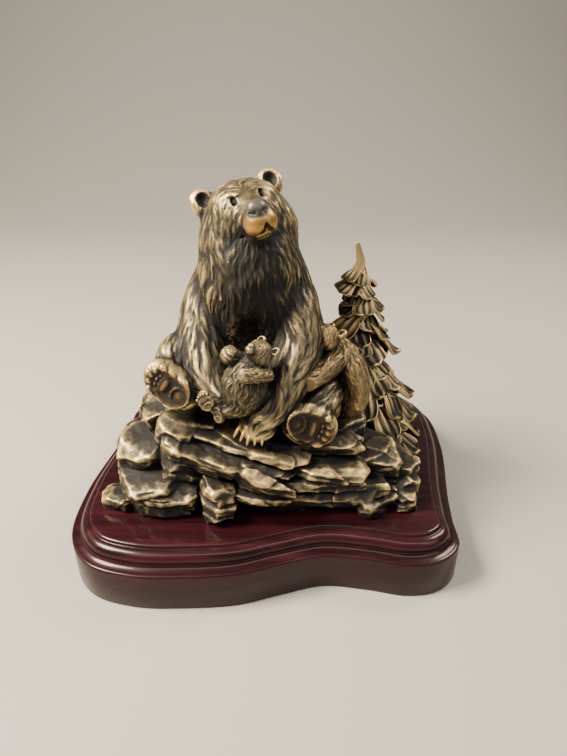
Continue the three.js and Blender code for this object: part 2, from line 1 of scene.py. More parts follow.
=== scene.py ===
# A cast bear group on a lacquered wooden base: a mother bear, two cubs, rock ledges and a spruce.
# Forms are worked out in millimetres in the part's own frame and turned to metres as they are made.
import bpy
import math
import numpy as np
import openvdb as vdb
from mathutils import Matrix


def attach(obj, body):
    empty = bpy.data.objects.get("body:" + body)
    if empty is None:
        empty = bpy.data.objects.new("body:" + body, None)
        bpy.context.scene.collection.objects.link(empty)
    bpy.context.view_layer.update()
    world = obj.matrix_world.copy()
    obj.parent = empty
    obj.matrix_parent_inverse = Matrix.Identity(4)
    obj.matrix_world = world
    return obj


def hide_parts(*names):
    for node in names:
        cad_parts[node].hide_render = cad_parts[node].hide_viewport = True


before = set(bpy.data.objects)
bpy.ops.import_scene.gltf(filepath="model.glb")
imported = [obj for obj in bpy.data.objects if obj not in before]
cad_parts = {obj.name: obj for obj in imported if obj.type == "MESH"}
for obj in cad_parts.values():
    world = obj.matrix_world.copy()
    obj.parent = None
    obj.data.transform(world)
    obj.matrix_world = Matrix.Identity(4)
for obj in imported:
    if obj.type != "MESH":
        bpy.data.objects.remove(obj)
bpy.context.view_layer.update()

MM = 0.001
BASE_HEIGHT = 46.4
CASTING_FOOT = 46.7
PIECE_LIMIT = 194000

# Stations along each limb: x, y, z, half width, half depth

TORSO = [
    (-14, 14, 92, 50, 42), (-15, 14, 122, 51, 43), (-15.5, 13, 150, 47, 41), (-16, 11, 176, 43, 38),
    (-16, 9, 197, 40, 35), (-15, 7, 214, 34, 31), (-15.5, 4, 232, 31, 29),
]
RIGHT_ARM = [
    (-38, 6, 204, 16, 18), (-46, -4, 186, 18, 20), (-50, -18, 165, 18, 20), (-46, -38, 147, 17, 18),
    (-34, -55, 137, 12, 13),
]
LEFT_ARM = [
    (8, 6, 203, 16, 18), (16, -6, 184, 18, 20), (19, -22, 162, 18, 19), (9.5, -45, 139, 14.5, 14.5),
    (-5, -60, 123, 10.5, 10),
]
RIGHT_LEG = [
    (-45, 16, 118, 24, 26), (-60, -8, 140, 19, 22), (-68, -24, 153, 14, 17), (-71, -36, 148, 13, 15),
    (-72, -43, 146, 13, 14),
]
LEFT_LEG = [
    (18, 14, 112, 24, 24), (36, -10, 121, 18, 20), (39, -28, 125, 14, 15), (36, -42, 121, 13, 14),
    (29, -50, 118, 13, 13),
]
# Rock slabs: middle x, y, z, length, width, thickness, yaw, dip to the front, dip to the right
ROCKS = [
    (-112, -62, 52, 34, 26, 13, 14, 0, 0), (-80, -68, 57, 56, 30, 22, -8, 4, 0),
    (-90, -58, 68, 52, 38, 14, 10, 10, -6), (-39, -74, 61, 26, 26, 34, 28, 8, 6),
    (4, -56, 62, 70, 42, 30, 4, 0, 0), (42, -62, 63, 86, 34, 14, 5, 6, -2),
    (56, -58, 54, 74, 34, 18, -4, 0, 0), (74, -70, 54, 24, 18, 16, 18, 0, 6),
    (99, -64, 53, 27, 19, 13, -10, 0, 0), (104, -50, 57, 20, 24, 19, 20, 0, 10),
    (92, -36, 60, 40, 44, 26, 12, 0, 4), (60, -32, 68, 74, 54, 34, -8, 0, 0),
    (-98, -22, 64, 54, 60, 34, 8, 0, 0), (-56, -34, 68, 76, 62, 42, 0, 0, 0),
    (84, 0, 58, 56, 56, 24, 10, 0, 0), (-78, 28, 62, 76, 58, 34, 14, -4, 0),
    (-20, 42, 66, 96, 52, 42, -6, -6, 0), (40, 36, 62, 70, 56, 34, 10, -4, 0),
    (-97, -38, 83, 46, 46, 24, 16, 14, -12), (-86, -26, 105, 32, 40, 26, 22, 10, -16),
    (-52, -64, 92, 62, 20, 18, -18, 18, 14), (-68, -50, 100, 34, 24, 26, -26, 14, 10),
    (-44, -56, 98, 58, 22, 8, -16, 10, 12), (-22, -60, 101, 96, 24, 9, -14, 12, 10),
    (-8, -62, 86, 66, 28, 14, -4, 8, 10), (-4, -80, 78, 48, 10, 22, -6, 24, 22),
    (-6, -76, 66, 40, 16, 10, -4, 6, 8), (38, -62, 85, 66, 32, 11, -6, 8, 4),
    (34, -64, 75, 76, 30, 11, 3, 6, 2), (82, -44, 74, 38, 36, 20, 6, 10, 4),
    (-70, 10, 86, 76, 70, 28, -8, 0, -4), (-62, -38, 109, 46, 30, 12, -14, 6, 6),
    (24, -48, 97, 84, 36, 12, -2, 6, 3), (44, -24, 94, 60, 52, 20, 6, 0, 2),
    (-14, 8, 92, 120, 84, 36, 4, 0, 0),
]
# Spruce tiers: height of the tips, reach, number of boughs, first direction, length, half width
SPRUCE_FOOT = (78, 22, 46)
SPRUCE_TIP = (63.5, 24, 224)
SPRUCE_TIERS = [
    (51, 49, 8, 6, 36, 12.5), (69, 46, 8, -16, 36, 12.5), (88, 40, 7, 6, 35, 12.5),
    (106, 34, 7, -20, 33, 12), (127, 29, 6, 0, 31, 12), (148, 22.5, 6, -30, 28, 11),
    (167, 17, 5, -10, 24, 9.5), (182, 14, 4, -50, 20, 8.5),
]


# Small sums

def unit(v):
    v = np.asarray(v, float)
    return v / np.maximum(np.linalg.norm(v, axis=-1, keepdims=True), 1e-9)


def rough(seed):
    """A repeatable rough number between -1 and 1."""
    s = math.sin(seed * 127.1 + 311.7) * 43758.5453
    return 2 * (s - math.floor(s)) - 1


def smooth_min(a, b, k):
    h = np.maximum(k - np.abs(a - b), 0) / k
    return np.minimum(a, b) - h * h * (k * 0.25)


class Place:
    """A frame with Y forward, Z up and X to its own right, and a scale."""

    def __init__(self, centre=(0, 0, 0), forward=(0, 1, 0), up=(0, 0, 1), scale=1.0):
        y = unit(forward)
        x = unit(np.cross(y, np.asarray(up, float)))
        self.axes = np.array([x, y, np.cross(x, y)])
        self.centre = np.asarray(centre, float)
        self.scale = scale

    def at(self, p):
        return self.centre + self.scale * np.asarray(p, float) @ self.axes

    def local(self, p):
        return (np.asarray(p, float) - self.centre) @ self.axes.T / self.scale


def head_place():
    yaw, pitch, roll = (math.radians(a) for a in (14, 27, 14))
    fwd = np.array([math.cos(pitch) * math.sin(yaw), -math.cos(pitch) * math.cos(yaw), math.sin(pitch)])
    up = np.array([0, 0, 1.0])
    up = (up * math.cos(roll) + np.cross(fwd, up) * math.sin(roll)
          + fwd * (fwd @ up) * (1 - math.cos(roll)))
    return Place((-16.7, 0, 245.6), fwd, up)


MOTHER_HEAD = head_place()
LAP_HEAD = Place((-7.5, -56, 172.5), (-0.43, -0.53, 0.73), (0.66, 0.37, 0.65), 0.31)
LEAN_HEAD = Place((40, -20, 167.5), (-0.55, -0.22, 0.8), (0.6, 0.36, 0.7), 0.33)
PAW = Place((-10.5, -63, 116.5), (-0.32, -0.72, -0.62), (0, -0.62, 0.78))
RIGHT_SOLE = Place((-71.5, -56, 146), (-0.25, -0.95, 0.15), (-0.8, 0, 0.58))
LEFT_SOLE = Place((27.5, -63, 117), (0.05, -0.98, 0.15), (0.93, 0, -0.33))
SOLES = ((RIGHT_SOLE, 42, 29), (LEFT_SOLE, 40, 30))
CHEST = (-15, -32, 170)
CHEST_REACH = (17, 16, 22)
# Under the chin, where the head's painted shade falls on the neck and chest, along with darker patina
THROAT = (-13, -30, 208)
THROAT_REACH = (22, 22, 34)
CLAW_ROW = Place((-14.6, -66.5, 115.4), (-0.27, -0.6, -0.76), (0.05, -0.79, 0.6))


# Meshes as arrays

def spline(rows, t):
    """A smooth curve through the rows, at the values t from 0 to 1."""
    p = np.array(rows, float)
    n = len(p) - 1
    p = np.vstack([2 * p[0] - p[1], p, 2 * p[-1] - p[-2]])
    s = np.clip(np.asarray(t, float) * n, 0, n - 1e-9)
    i = s.astype(int)
    f = (s - i)[:, None]
    a, b, c, d = p[i], p[i + 1], p[i + 2], p[i + 3]
    return 0.5 * (2 * b + (c - a) * f + (2 * a - 5 * b + 4 * c - d) * f * f
                  + (3 * b - a - 3 * c + d) * f ** 3)


def skin(loops, first, last):
    """A closed surface over rows of loops, with a point at each end."""
    rows, sides, _ = loops.shape
    points = np.vstack([loops.reshape(-1, 3), [first], [last]])
    r, i = np.meshgrid(np.arange(rows - 1), np.arange(sides), indexing="ij")
    a = (r * sides + i).ravel()
    b = (r * sides + (i + 1) % sides).ravel()
    faces = [np.stack([a, b, b + sides], 1), np.stack([a, b + sides, a + sides], 1)]
    k = np.arange(sides)
    n = (k + 1) % sides
    ends = rows * sides
    faces.append(np.stack([np.full(sides, ends), n, k], 1))
    foot = (rows - 1) * sides
    faces.append(np.stack([np.full(sides, ends + 1), foot + k, foot + n], 1))
    faces = np.vstack(faces)
    tri = points[faces]
    if np.einsum("ij,ij->", tri[:, 0], np.cross(tri[:, 1], tri[:, 2])) < 0:
        faces = faces[:, ::-1]
    return points, faces


def limb_frames(rows, face, rings):
    t = np.linspace(0, 1, rings)
    s = spline(rows, t)
    tangent = unit(np.gradient(s[:, :3], axis=0))
    side = unit(np.cross(tangent, np.asarray(face, float)))
    fore = unit(np.cross(side, tangent))
    return s[:, :3], s[:, 3:5], tangent, side, fore


def limb(rows, face=(0, -1, 0), ends=0.8, sides=36, rings=40):
    """Oval sections along a smooth spine, with round ends."""
    c, size, tangent, side, fore = limb_frames(rows, face, rings)
    a = np.linspace(0, 2 * np.pi, sides, endpoint=False)
    ring = lambda k, shrink, push: (
        c[k] + tangent[k] * push * ends * size[k].min()
        + np.outer(np.cos(a), side[k]) * size[k, 0] * shrink
        + np.outer(np.sin(a), fore[k]) * size[k, 1] * shrink)
    caps = np.radians([75, 55, 35, 16])
    loops = [ring(0, math.cos(q), -math.sin(q)) for q in caps]
    loops += [ring(k, 1, 0) for k in range(rings)]
    loops += [ring(-1, math.cos(q), math.sin(q)) for q in caps[::-1]]
    first = c[0] - tangent[0] * ends * size[0].min()
    last = c[-1] + tangent[-1] * ends * size[-1].min()
    return skin(np.array(loops), first, last)


def placed(rows, place):
    return [(*place.at(r[:3]), r[3] * place.scale, r[4] * place.scale) for r in rows]


# Clay: a block of voxels that holds the distance to a surface, negative inside

class Clay:
    def __init__(self, low, high, step, far=5.0):
        self.step = step
        self.far = far
        self.first = np.floor(np.array(low) / step).astype(int)
        self.size = np.ceil(np.array(high) / step).astype(int) - self.first + 1
        self.d = np.full(self.size, far, np.float32)

    def coords(self, lo, hi):
        axes = [((np.arange(lo[k], hi[k]) + self.first[k]) * self.step).astype(np.float32)
                for k in range(3)]
        return axes[0][:, None, None], axes[1][None, :, None], axes[2][None, None, :]

    def block(self, low, high):
        lo = np.clip(np.floor(np.array(low) / self.step).astype(int) - self.first, 0, self.size)
        hi = np.clip(np.ceil(np.array(high) / self.step).astype(int) - self.first + 1, 0, self.size)
        if (hi <= lo).any():
            return None
        return lo, hi, tuple(slice(a, b) for a, b in zip(lo, hi))

    def mesh_distance(self, points, faces):
        grid = vdb.FloatGrid.createLevelSetFromPolygons(
            points.astype(np.float32), triangles=faces.astype(np.uint32),
            transform=vdb.createLinearTransform(self.step), halfWidth=self.far / self.step)
        lo, hi = (np.array(c) for c in grid.evalActiveVoxelBoundingBox())
        lo = np.maximum(lo, self.first)
        hi = np.minimum(hi + 1, self.first + self.size)
        if (hi <= lo).any():
            return None
        d = np.empty(hi - lo, np.float32)
        grid.copyToArray(d, ijk=tuple(int(v) for v in lo))
        sl = tuple(slice(int(a), int(b)) for a, b in zip(lo - self.first, hi - self.first))
        return sl, np.clip(d, -self.far, self.far)

    def add_mesh(self, mesh, blend=3.0):
        found = self.mesh_distance(*mesh)
        if found:
            sl, d = found
            self.d[sl] = smooth_min(self.d[sl], d, blend)

    def ball_distance(self, centre, radii, place=None):
        place = place or Place()
        c = place.at(centre)
        r = np.array(radii, float) * place.scale
        reach = r.max() + self.far
        found = self.block(c - reach, c + reach)
        if found is None:
            return None
        lo, hi, sl = found
        x, y, z = self.coords(lo, hi)
        x, y, z = x - c[0], y - c[1], z - c[2]
        q = [np.float32(a[0]) * x + np.float32(a[1]) * y + np.float32(a[2]) * z for a in place.axes]
        k0 = np.sqrt(sum((q[i] / np.float32(r[i])) ** 2 for i in range(3)))
        k1 = np.sqrt(sum((q[i] / np.float32(r[i] ** 2)) ** 2 for i in range(3)))
        return sl, k0 * (k0 - 1) / np.maximum(k1, 1e-6)

    def add_ball(self, centre, radii, place=None, blend=3.0):
        found = self.ball_distance(centre, radii, place)
        if found:
            sl, d = found
            self.d[sl] = smooth_min(self.d[sl], np.clip(d, -self.far, self.far), blend)

    def cut_ball(self, centre, radii, place=None, blend=1.0):
        found = self.ball_distance(centre, radii, place)
        if found:
            sl, d = found
            self.d[sl] = -smooth_min(-self.d[sl], np.clip(d, -self.far, self.far), blend)

    def strand(self, path, radius, cut=False, blend=0.0):
        """A run of tapered rods along a path, added to the surface or cut into it."""
        for k in range(len(path) - 1):
            a, b, ra, rb = path[k], path[k + 1], radius[k], radius[k + 1]
            pad = max(ra, rb) + 1.2
            found = self.block(np.minimum(a, b) - pad, np.maximum(a, b) + pad)
            if found is None:
                continue
            lo, hi, sl = found
            x, y, z = self.coords(lo, hi)
            u = (b - a).astype(np.float32)
            x, y, z = x - np.float32(a[0]), y - np.float32(a[1]), z - np.float32(a[2])
            h = np.clip((x * u[0] + y * u[1] + z * u[2]) / max(float(u @ u), 1e-6), 0, 1)
            d = np.sqrt((x - h * u[0]) ** 2 + (y - h * u[1]) ** 2 + (z - h * u[2]) ** 2)
            d -= np.float32(ra) + h * np.float32(rb - ra)
            if cut:
                self.d[sl] = -smooth_min(-self.d[sl], d, blend) if blend else np.maximum(self.d[sl], -d)
            else:
                self.d[sl] = smooth_min(self.d[sl], d, blend) if blend else np.minimum(self.d[sl], d)

    def sample(self, p):
        """Distance at points, between the voxels."""
        g = np.clip(p / self.step - self.first, 0, self.size - 1.001)
        i = g.astype(int)
        f = g - i
        total = 0
        for dx in (0, 1):
            for dy in (0, 1):
                for dz in (0, 1):
                    w = (np.abs(1 - dx - f[:, 0]) * np.abs(1 - dy - f[:, 1]) * np.abs(1 - dz - f[:, 2]))
                    total = total + w * self.d[i[:, 0] + dx, i[:, 1] + dy, i[:, 2] + dz]
        return total

    def normal(self, p, reach=None):
        e = reach or self.step * 1.5
        n = [self.sample(p + e * np.eye(3)[k]) - self.sample(p - e * np.eye(3)[k]) for k in range(3)]
        return unit(np.stack(n, 1))

    def settle(self, p, times=2):
        """Moves points on to the surface."""
        for _ in range(times):
            p = p - self.sample(p)[:, None] * self.normal(p)
        return p

    def noise(self, size, seed):
        """Smooth noise between about -1 and 1, with lumps of this size in millimetres."""
        rng = np.random.default_rng(seed)
        size = np.broadcast_to(np.asarray(size, float), 3)
        counts = np.ceil(self.size * self.step / size).astype(int) + 4
        field = rng.uniform(-1, 1, counts).astype(np.float32)
        for k in range(3):
            g = np.arange(self.size[k]) * self.step / size[k] + 1
            i = g.astype(int)
            f = g - i
            m = np.zeros((self.size[k], counts[k]), np.float32)
            rows = np.arange(self.size[k])
            for off, w in ((-1, (1 - f) ** 3 / 6), (0, (3 * f ** 3 - 6 * f ** 2 + 4) / 6),
                           (1, (-3 * f ** 3 + 3 * f ** 2 + 3 * f + 1) / 6), (2, f ** 3 / 6)):
                m[rows, i + off] += w
            field = np.moveaxis(np.tensordot(m, field, axes=(1, k)), 0, k)
        return field * np.float32(2.4)

    def surface(self):
        """The surface as points and square faces, outer body only."""
        grid = vdb.FloatGrid(self.step * 3)
        band = np.float32(self.step * 3)
        d = np.clip(self.d, -band, band)
        for k in range(3):
            edge = [slice(None)] * 3
            for side in (0, -1):
                edge[k] = side
                d[tuple(edge)] = np.maximum(d[tuple(edge)], np.float32(self.step))
        grid.copyFromArray(d, ijk=tuple(int(v) for v in self.first), tolerance=0.0)
        grid.transform = vdb.createLinearTransform(self.step)
        points, quads = grid.convertToQuads(0.0)
        quads = quads.astype(np.int64)
        group = np.arange(len(points))
        while True:
            low = group[quads].min(1)
            new = group.copy()
            for k in range(4):
                np.minimum.at(new, quads[:, k], low)
                np.minimum.at(new, group[quads[:, k]], low)
            new = new[new]
            if (new == group).all():
                break
            group = new
        names, counts = np.unique(group[quads[:, 0]], return_counts=True)
        quads = quads[group[quads[:, 0]] == names[counts.argmax()]]
        used, quads = np.unique(quads, return_inverse=True)
        quads = quads.reshape(-1, 4)
        points = points[used]
        a, b, c, e = (points[quads[:, k]] for k in range(4))
        volume = np.einsum("ij,ij->", a, np.cross(b, c)) + np.einsum("ij,ij->", a, np.cross(c, e))
        return points.astype(float), quads[:, ::-1] if volume < 0 else quads


# Finished pieces

def object_of(name, points, faces):
    mesh = bpy.data.meshes.new(name)
    n, m = faces.shape
    mesh.vertices.add(len(points))
    mesh.vertices.foreach_set("co", (points * MM).astype(np.float32).ravel())
    mesh.loops.add(n * m)
    mesh.loops.foreach_set("vertex_index", faces.astype(np.int32).ravel())
    mesh.polygons.add(n)
    mesh.polygons.foreach_set("loop_start", np.arange(0, n * m, m, dtype=np.int32))
    mesh.update(calc_edges=True)
    mesh.validate()
    obj = bpy.data.objects.new(name, mesh)
    bpy.context.scene.collection.objects.link(obj)
    return obj


def settled(obj):
    """Turns an object's modifiers into plain mesh."""
    graph = bpy.context.evaluated_depsgraph_get()
    mesh = bpy.data.meshes.new_from_object(obj.evaluated_get(graph), depsgraph=graph)
    obj.modifiers.clear()
    old = obj.data
    obj.data = mesh
    bpy.data.meshes.remove(old)
    return obj


def thinned(obj, limit=PIECE_LIMIT):
    """Takes a mesh down to a number of triangles."""
    count = len(obj.data.loops) - 2 * len(obj.data.polygons)
    if count > limit:
        mod = obj.modifiers.new("thin", "DECIMATE")
        mod.ratio = limit / count
        mod.use_collapse_triangulate = True
        settled(obj)
    return obj


def arrays_of(obj):
    mesh = obj.data
    points = np.empty(len(mesh.vertices) * 3, np.float32)
    mesh.vertices.foreach_get("co", points)
    mesh.calc_loop_triangles()
    tris = np.empty(len(mesh.loop_triangles) * 3, np.int32)
    mesh.loop_triangles.foreach_get("vertices", tris)
    return points.reshape(-1, 3) / MM, tris.reshape(-1, 3).astype(np.int64)


def put(obj, name, values):
    a = obj.data.attributes.new(name, "FLOAT", "POINT")
    a.data.foreach_set("value", np.asarray(values, np.float32))


def vertex_normals(points, tris):
    t = points[tris]
    n = np.cross(t[:, 1] - t[:, 0], t[:, 2] - t[:, 0])
    out = np.zeros_like(points)
    for k in range(3):
        for c in range(3):
            out[:, c] += np.bincount(tris[:, k], n[:, c], len(points))
    return unit(out)


def relief(points, tris, times):
    """How far each point stands out of its smoothed surroundings, in millimetres."""
    a = np.concatenate([tris[:, 0], tris[:, 1], tris[:, 2]])
    b = np.concatenate([tris[:, 1], tris[:, 2], tris[:, 0]])
    count = np.bincount(a, minlength=len(points)) + np.bincount(b, minlength=len(points))
    normal = vertex_normals(points, tris)
    p = points.copy()
    for _ in range(times):
        q = np.empty_like(p)
        for c in range(3):
            q[:, c] = np.bincount(a, p[b, c], len(p)) + np.bincount(b, p[a, c], len(p))
        p = q / np.maximum(count, 1)[:, None]
    return np.einsum("ij,ij->i", points - p, normal)


class Shade:
    """A coarse record of what is solid, to find how enclosed each point is, for patina and painted shade in
    hollows.
    """

    def __init__(self, low, high, step=2.0):
        self.clay = Clay(low, high, step)
        self.full = np.zeros(self.clay.size, np.float32)
        _, _, z = self.clay.coords((0, 0, 0), self.clay.size)
        self.full[:] = np.maximum(self.full, (z < BASE_HEIGHT).astype(np.float32))

    def add(self, clay):
        axes = [((np.arange(self.clay.size[k]) + self.clay.first[k]) * self.clay.step / clay.step
                 - clay.first[k]).round().astype(int) for k in range(3)]
        good = [(a >= 0) & (a < clay.size[k]) for k, a in enumerate(axes)]
        part = clay.d[np.ix_(*(a[g] for a, g in zip(axes, good)))] < 0
        self.full[np.ix_(*(np.nonzero(g)[0] for g in good))] += part

    def close(self, reach=4):
        field = np.minimum(self.full, 1)
        for _ in range(2):
            for k in range(3):
                total = np.cumsum(np.pad(field, [(reach + 1, reach) if j == k else (0, 0) for j in range(3)],
                                         mode="edge"), axis=k)
                n = field.shape[k]
                width = 2 * reach + 1
                take = lambda s: np.take(total, np.arange(s, s + n), axis=k)
                field = (take(width) - take(0)) / width
        self.clay.d = field.astype(np.float32)

    def at(self, points, normals, out=5.0):
        return self.clay.sample(points + normals * out)


# Bear forms

def head(clay, place, snout=1.0, blend=3.0, ear=1.0):
    """Skull, cheeks, brows, muzzle, jaw, ears and upper lips, before the coat is laid."""
    s = place.scale
    fore = lambda y: 12 + (y - 12) * snout
    k = blend * s
    clay.add_ball((0, 0, 1), (28, 29, 27), place, k)
    for x in (-1, 1):
        clay.add_ball((x * 15, -2, -7), (17.5, 19, 17), place, 5 * s)
        clay.add_ball((x * 10, fore(14), 12), (9, 9, 6), place, 6 * s)
    up = place.axes[2]
    clay.add_mesh(limb(placed([(0, 12, 4, 15, 14), (0, fore(24), -2, 11.5, 11.5), (0, fore(34), -5, 8.8, 9),
                               (0, fore(41.5), -5.5, 7.2, 7.2)], place), up, 0.4), 5 * s)
    clay.add_mesh(limb(placed([(0, 6, -12, 15, 11), (0, fore(19), -13.5, 10, 7),
                               (0, fore(27), -14, 6.5, 4.5)], place), up, 0.6), 4 * s)
    for x in (-1, 1):
        clay.add_ball((x * 25 - 1.8, -6, 23.6 + 5 * (ear - 1)), (8.2 * ear, 4.8 * ear, 8.8 * ear), place, 3 * s)
        clay.add_ball((x * 3.6, fore(36), -9.5), (5.8, 7, 6), place, 5 * s)


def features(clay, place, snout=1.0, ear=1.0):
    """What shows through the coat: eyes, ear hollows, lips, nose pad, nostrils and mouth."""
    s = place.scale
    fore = lambda y: 12 + (y - 12) * snout
    for x in (-1, 1):
        clay.cut_ball((x * 9.6, fore(25.5), 10.4), (1.3, 4.4, 2.6), place, 1.8 * s)
        clay.add_ball((x * 9.4, fore(22.4), 10.2), (1.9, 2.2, 2.1), place, 0.4 * s)
        clay.cut_ball((x * 25.0 - 1.8, -1.2, 23.8 + 5 * (ear - 1)), (4.3 * ear, 4.2 * ear, 4.9 * ear),
                      place, 3 * s)
        clay.add_ball((x * 3.0, fore(37), -9.4), (5.6, 6.2, 6.0), place, 5 * s)
    clay.add_ball((0, fore(38.4), -8.2), (6, 6.4, 6), place, 4 * s)
    clay.add_ball((0, fore(30.5), -16.4), (5, 5, 2.2), place, 1.6 * s)
    clay.add_ball((1.2, fore(43.6), -1.8), (6.7, 4.6, 5.0), place, 1.0 * s)
    clay.add_ball((1.2, fore(41.5), 1.2), (6.2, 5.4, 3.6), place, 2.4 * s)
    for x in (-1, 1):
        clay.cut_ball((x * 3.5 + 1.2, fore(47.2), -4.2), (1.9, 2.4, 1.5), place, 0.8 * s)
        clay.cut_ball((x * 5.6 + 1.2, fore(45.8), -3.4), (1.6, 1.8, 0.8), place, 0.6 * s)
        mouth = np.array([(-1, fore(43), -13.6), (-1 + x * 2.2, fore(41.5), -15.4), (x * 5.4, fore(37), -16),
                          (x * 8.4, fore(31), -15), (x * 10.8, fore(25), -13), (x * 12.4, fore(20), -10.6)])
        clay.strand(place.at(mouth), np.array([1.5, 1.1, 0.8, 0.9, 0.8, 0.4]) * s, True, 1.2 * s)
        for dot in ((7.0, 35, -5.5), (7.8, 31, -7.6), (7.6, 35, -9), (9, 29, -10.5), (9.2, 27, -5)):
            clay.cut_ball((x * dot[0], fore(dot[1]), dot[2]), (0.6, 0.9, 0.6), place, 0.5 * s)
    split = place.at([(-0.6, fore(44.6), -10.5), (-1, fore(43.4), -13)])
    clay.strand(split, np.array([0.3, 1.3]) * s, True, 1.8 * s)


def sole(clay, place, length, width, toes=5):
    """A hind foot from below: a thick rim round a hollow with heel, main and toe pads and creases."""
    k = length / 40
    clay.add_ball((0, -5 * k, 0), (width / 2, 9 * k, length / 2), place, 2 * k)
    clay.cut_ball((0, 5.6 * k, 0), (width / 2 - 1.6 * k, 5.2 * k, length / 2 - 1.6 * k), place, 1.2 * k)
    ring = lambda cx, cz, rx, rz, a0, a1: place.at(
        [(cx + rx * math.cos(a), 1.0 * k, cz + rz * math.sin(a)) for a in np.linspace(a0, a1, 13)])
    clay.add_ball((0, -0.6, -length * 0.25), (width * 0.15, 2.8 * k, length * 0.1), place, 1.2)
    clay.strand(ring(0, -length * 0.25, width * 0.24, length * 0.15, 0, 6.0), np.full(13, 0.95 * k), False, 0.8)
    clay.add_ball((0, -0.4, length * 0.06), (width * 0.25, 3.2 * k, length * 0.07), place, 1.2)
    clay.strand(ring(0, -length * 0.02, width * 0.36, length * 0.16, 0.2, 2.94), np.full(13, 0.85 * k),
                False, 0.8)
    clay.strand(ring(0, 0, width * 0.41, length * 0.4, 3.5, 5.9), np.full(13, 0.7 * k), False, 0.8)
    for i in range(toes):
        share = (i - (toes - 1) / 2) / ((toes - 1) / 2)
        clay.add_ball((share * width * 0.33, 0.6, length * (0.33 - 0.1 * share ** 2)),
                      (width * 0.075, 2.6 * k, length * 0.065), place, 0.4)
        clay.add_ball((share * width * 0.27, 0.4, length * (0.22 - 0.08 * share ** 2)),
                      (width * 0.055, 2.0 * k, length * 0.035), place, 0.4)


def flow_of(rows, length, width, count=24):
    """Points, sizes and directions along a limb that tell the coat which way to lie."""
    s = spline(rows, np.linspace(0, 1, count))
    way = unit(np.gradient(s[:, :3], axis=0))
    return dict(c=s[:, :3], r=s[:, 3:5].mean(1), way=way, length=length, width=width)


class Coat:
    """Which way fur lies, and how long and wide its locks are."""

    def __init__(self, flows, head, size=1.0, fall=(0, 0, -1)):
        self.flows = flows
        self.head = head
        self.size = size
        self.fall = np.asarray(fall, float)

    def at(self, p):
        way = np.zeros_like(p)
        length = np.zeros(len(p))
        width = np.zeros(len(p))
        total = np.full(len(p), 1e-9)
        reach = 4.0 * self.size
        for f in self.flows:
            gap = np.linalg.norm(p[:, None] - f["c"][None], axis=2) - f["r"][None]
            near = gap.argmin(1)
            w = np.exp(-np.clip(gap.min(1), -8 * self.size, 40) / reach)
            way += w[:, None] * f["way"][near]
            length += w * f["length"]
            width += w * f["width"]
            total += w
        q = self.head.local(p)
        gap = (np.linalg.norm(q / np.array([31, 33, 29]), axis=1) - 1) * 30 * self.head.scale
        w = np.exp(-np.clip(gap, -8 * self.size, 40) / reach) * 1.6
        # The coat parts along the forehead, falls down both cheeks and runs back from the muzzle
        out = np.abs(q[:, 0])
        across = np.tanh(q[:, 0] / 5) * np.clip(1 - out / 24, 0, 1)
        fall = -0.2 - 1.3 * np.clip((out - 6) / 15, 0, 1) - 0.9 * np.clip((-8 - q[:, 2]) / 10, 0, 1)
        back = -0.75 + 0.45 * np.clip((out - 10) / 14, 0, 1)
        local = unit(np.stack([across, back, fall], 1))
        way += w[:, None] * unit(local @ self.head.axes + 0.3 * np.clip((4 - q[:, 2:]) / 14, 0, 1) * self.fall)
        face = np.clip((q[:, 1] - 6) / 20, 0, 1)
        length += w * (19 - 11 * face) * self.size
        width += w * (1.9 - 0.7 * face) * self.size
        total += w
        return unit(way), length / total, width / total

    def sway(self, p):
        """A slow wander of the lie of the fur that neighbours share."""
        k = 1 / self.size
        return (0.26 * np.sin(0.13 * k * p[:, 2] + 0.10 * k * p[:, 0] + 1.0)
                + 0.22 * np.sin(0.21 * k * p[:, 0] - 0.17 * k * p[:, 1] + 0.09 * k * p[:, 2] + 2.0)
                + 0.16 * np.sin(0.42 * k * p[:, 2] + 0.23 * k * p[:, 1] + 4.0))


def brush(clay, coat, starts, rng, thick=1.0, stretch=1.0, wave=0.5, steps=6, lift=0.25, swirl=None, sink=0.0):
    """Lays locks of fur on a surface, each one rooted under it and free at its tip."""
    way, length, width = coat.at(starts)
    length = length * stretch * rng.uniform(0.75, 1.25, len(starts))
    width = width * thick * rng.uniform(0.75, 1.25, len(starts))
    phase = rng.uniform(0, 2 * np.pi, len(starts))
    turn = rng.normal(0, 0.07, len(starts))
    curl = rng.uniform(0.8, 1.3, len(starts)) * wave
    p = clay.settle(starts)
    path, radii = [], []
    for k in range(steps + 1):
        s = k / steps
        n = clay.normal(p, clay.step * 2)
        path.append(p + n * (((-0.6 + (0.6 + lift) * s) * width / 2 + sink))[:, None])
        swell = math.sin(math.pi * (0.16 + 0.84 * s) ** 0.9)
        radii.append(width / 2 * (0.25 + 0.8 * max(swell, 0)) * (1 if s < 0.99 else 0.7))
        way, _, _ = coat.at(p)
        side = np.cross(n, way)
        swing = turn + coat.sway(p) + curl * np.sin(phase + 5.2 * s)
        if swirl is not None:
            swing = swing + swirl * (1.6 * s)
        d = way + side * swing[:, None]
        d = unit(d - n * np.einsum("ij,ij->i", d, n)[:, None])
        p = clay.settle(p + d * (length / steps)[:, None], 1)
    path = np.array(path)
    radii = np.array(radii)
    for i in range(len(starts)):
        clay.strand(path[:, i], radii[:, i])


def spread(points, rng, gap):
    """Picks points of a surface so that they lie about a gap apart."""
    order = rng.permutation(len(points))
    p = points[order]
    cell = np.floor(p / gap + rng.uniform(0, 1, 3)).astype(int)
    _, first = np.unique(cell, axis=0, return_index=True)
    return p[np.sort(first)]


# The mother

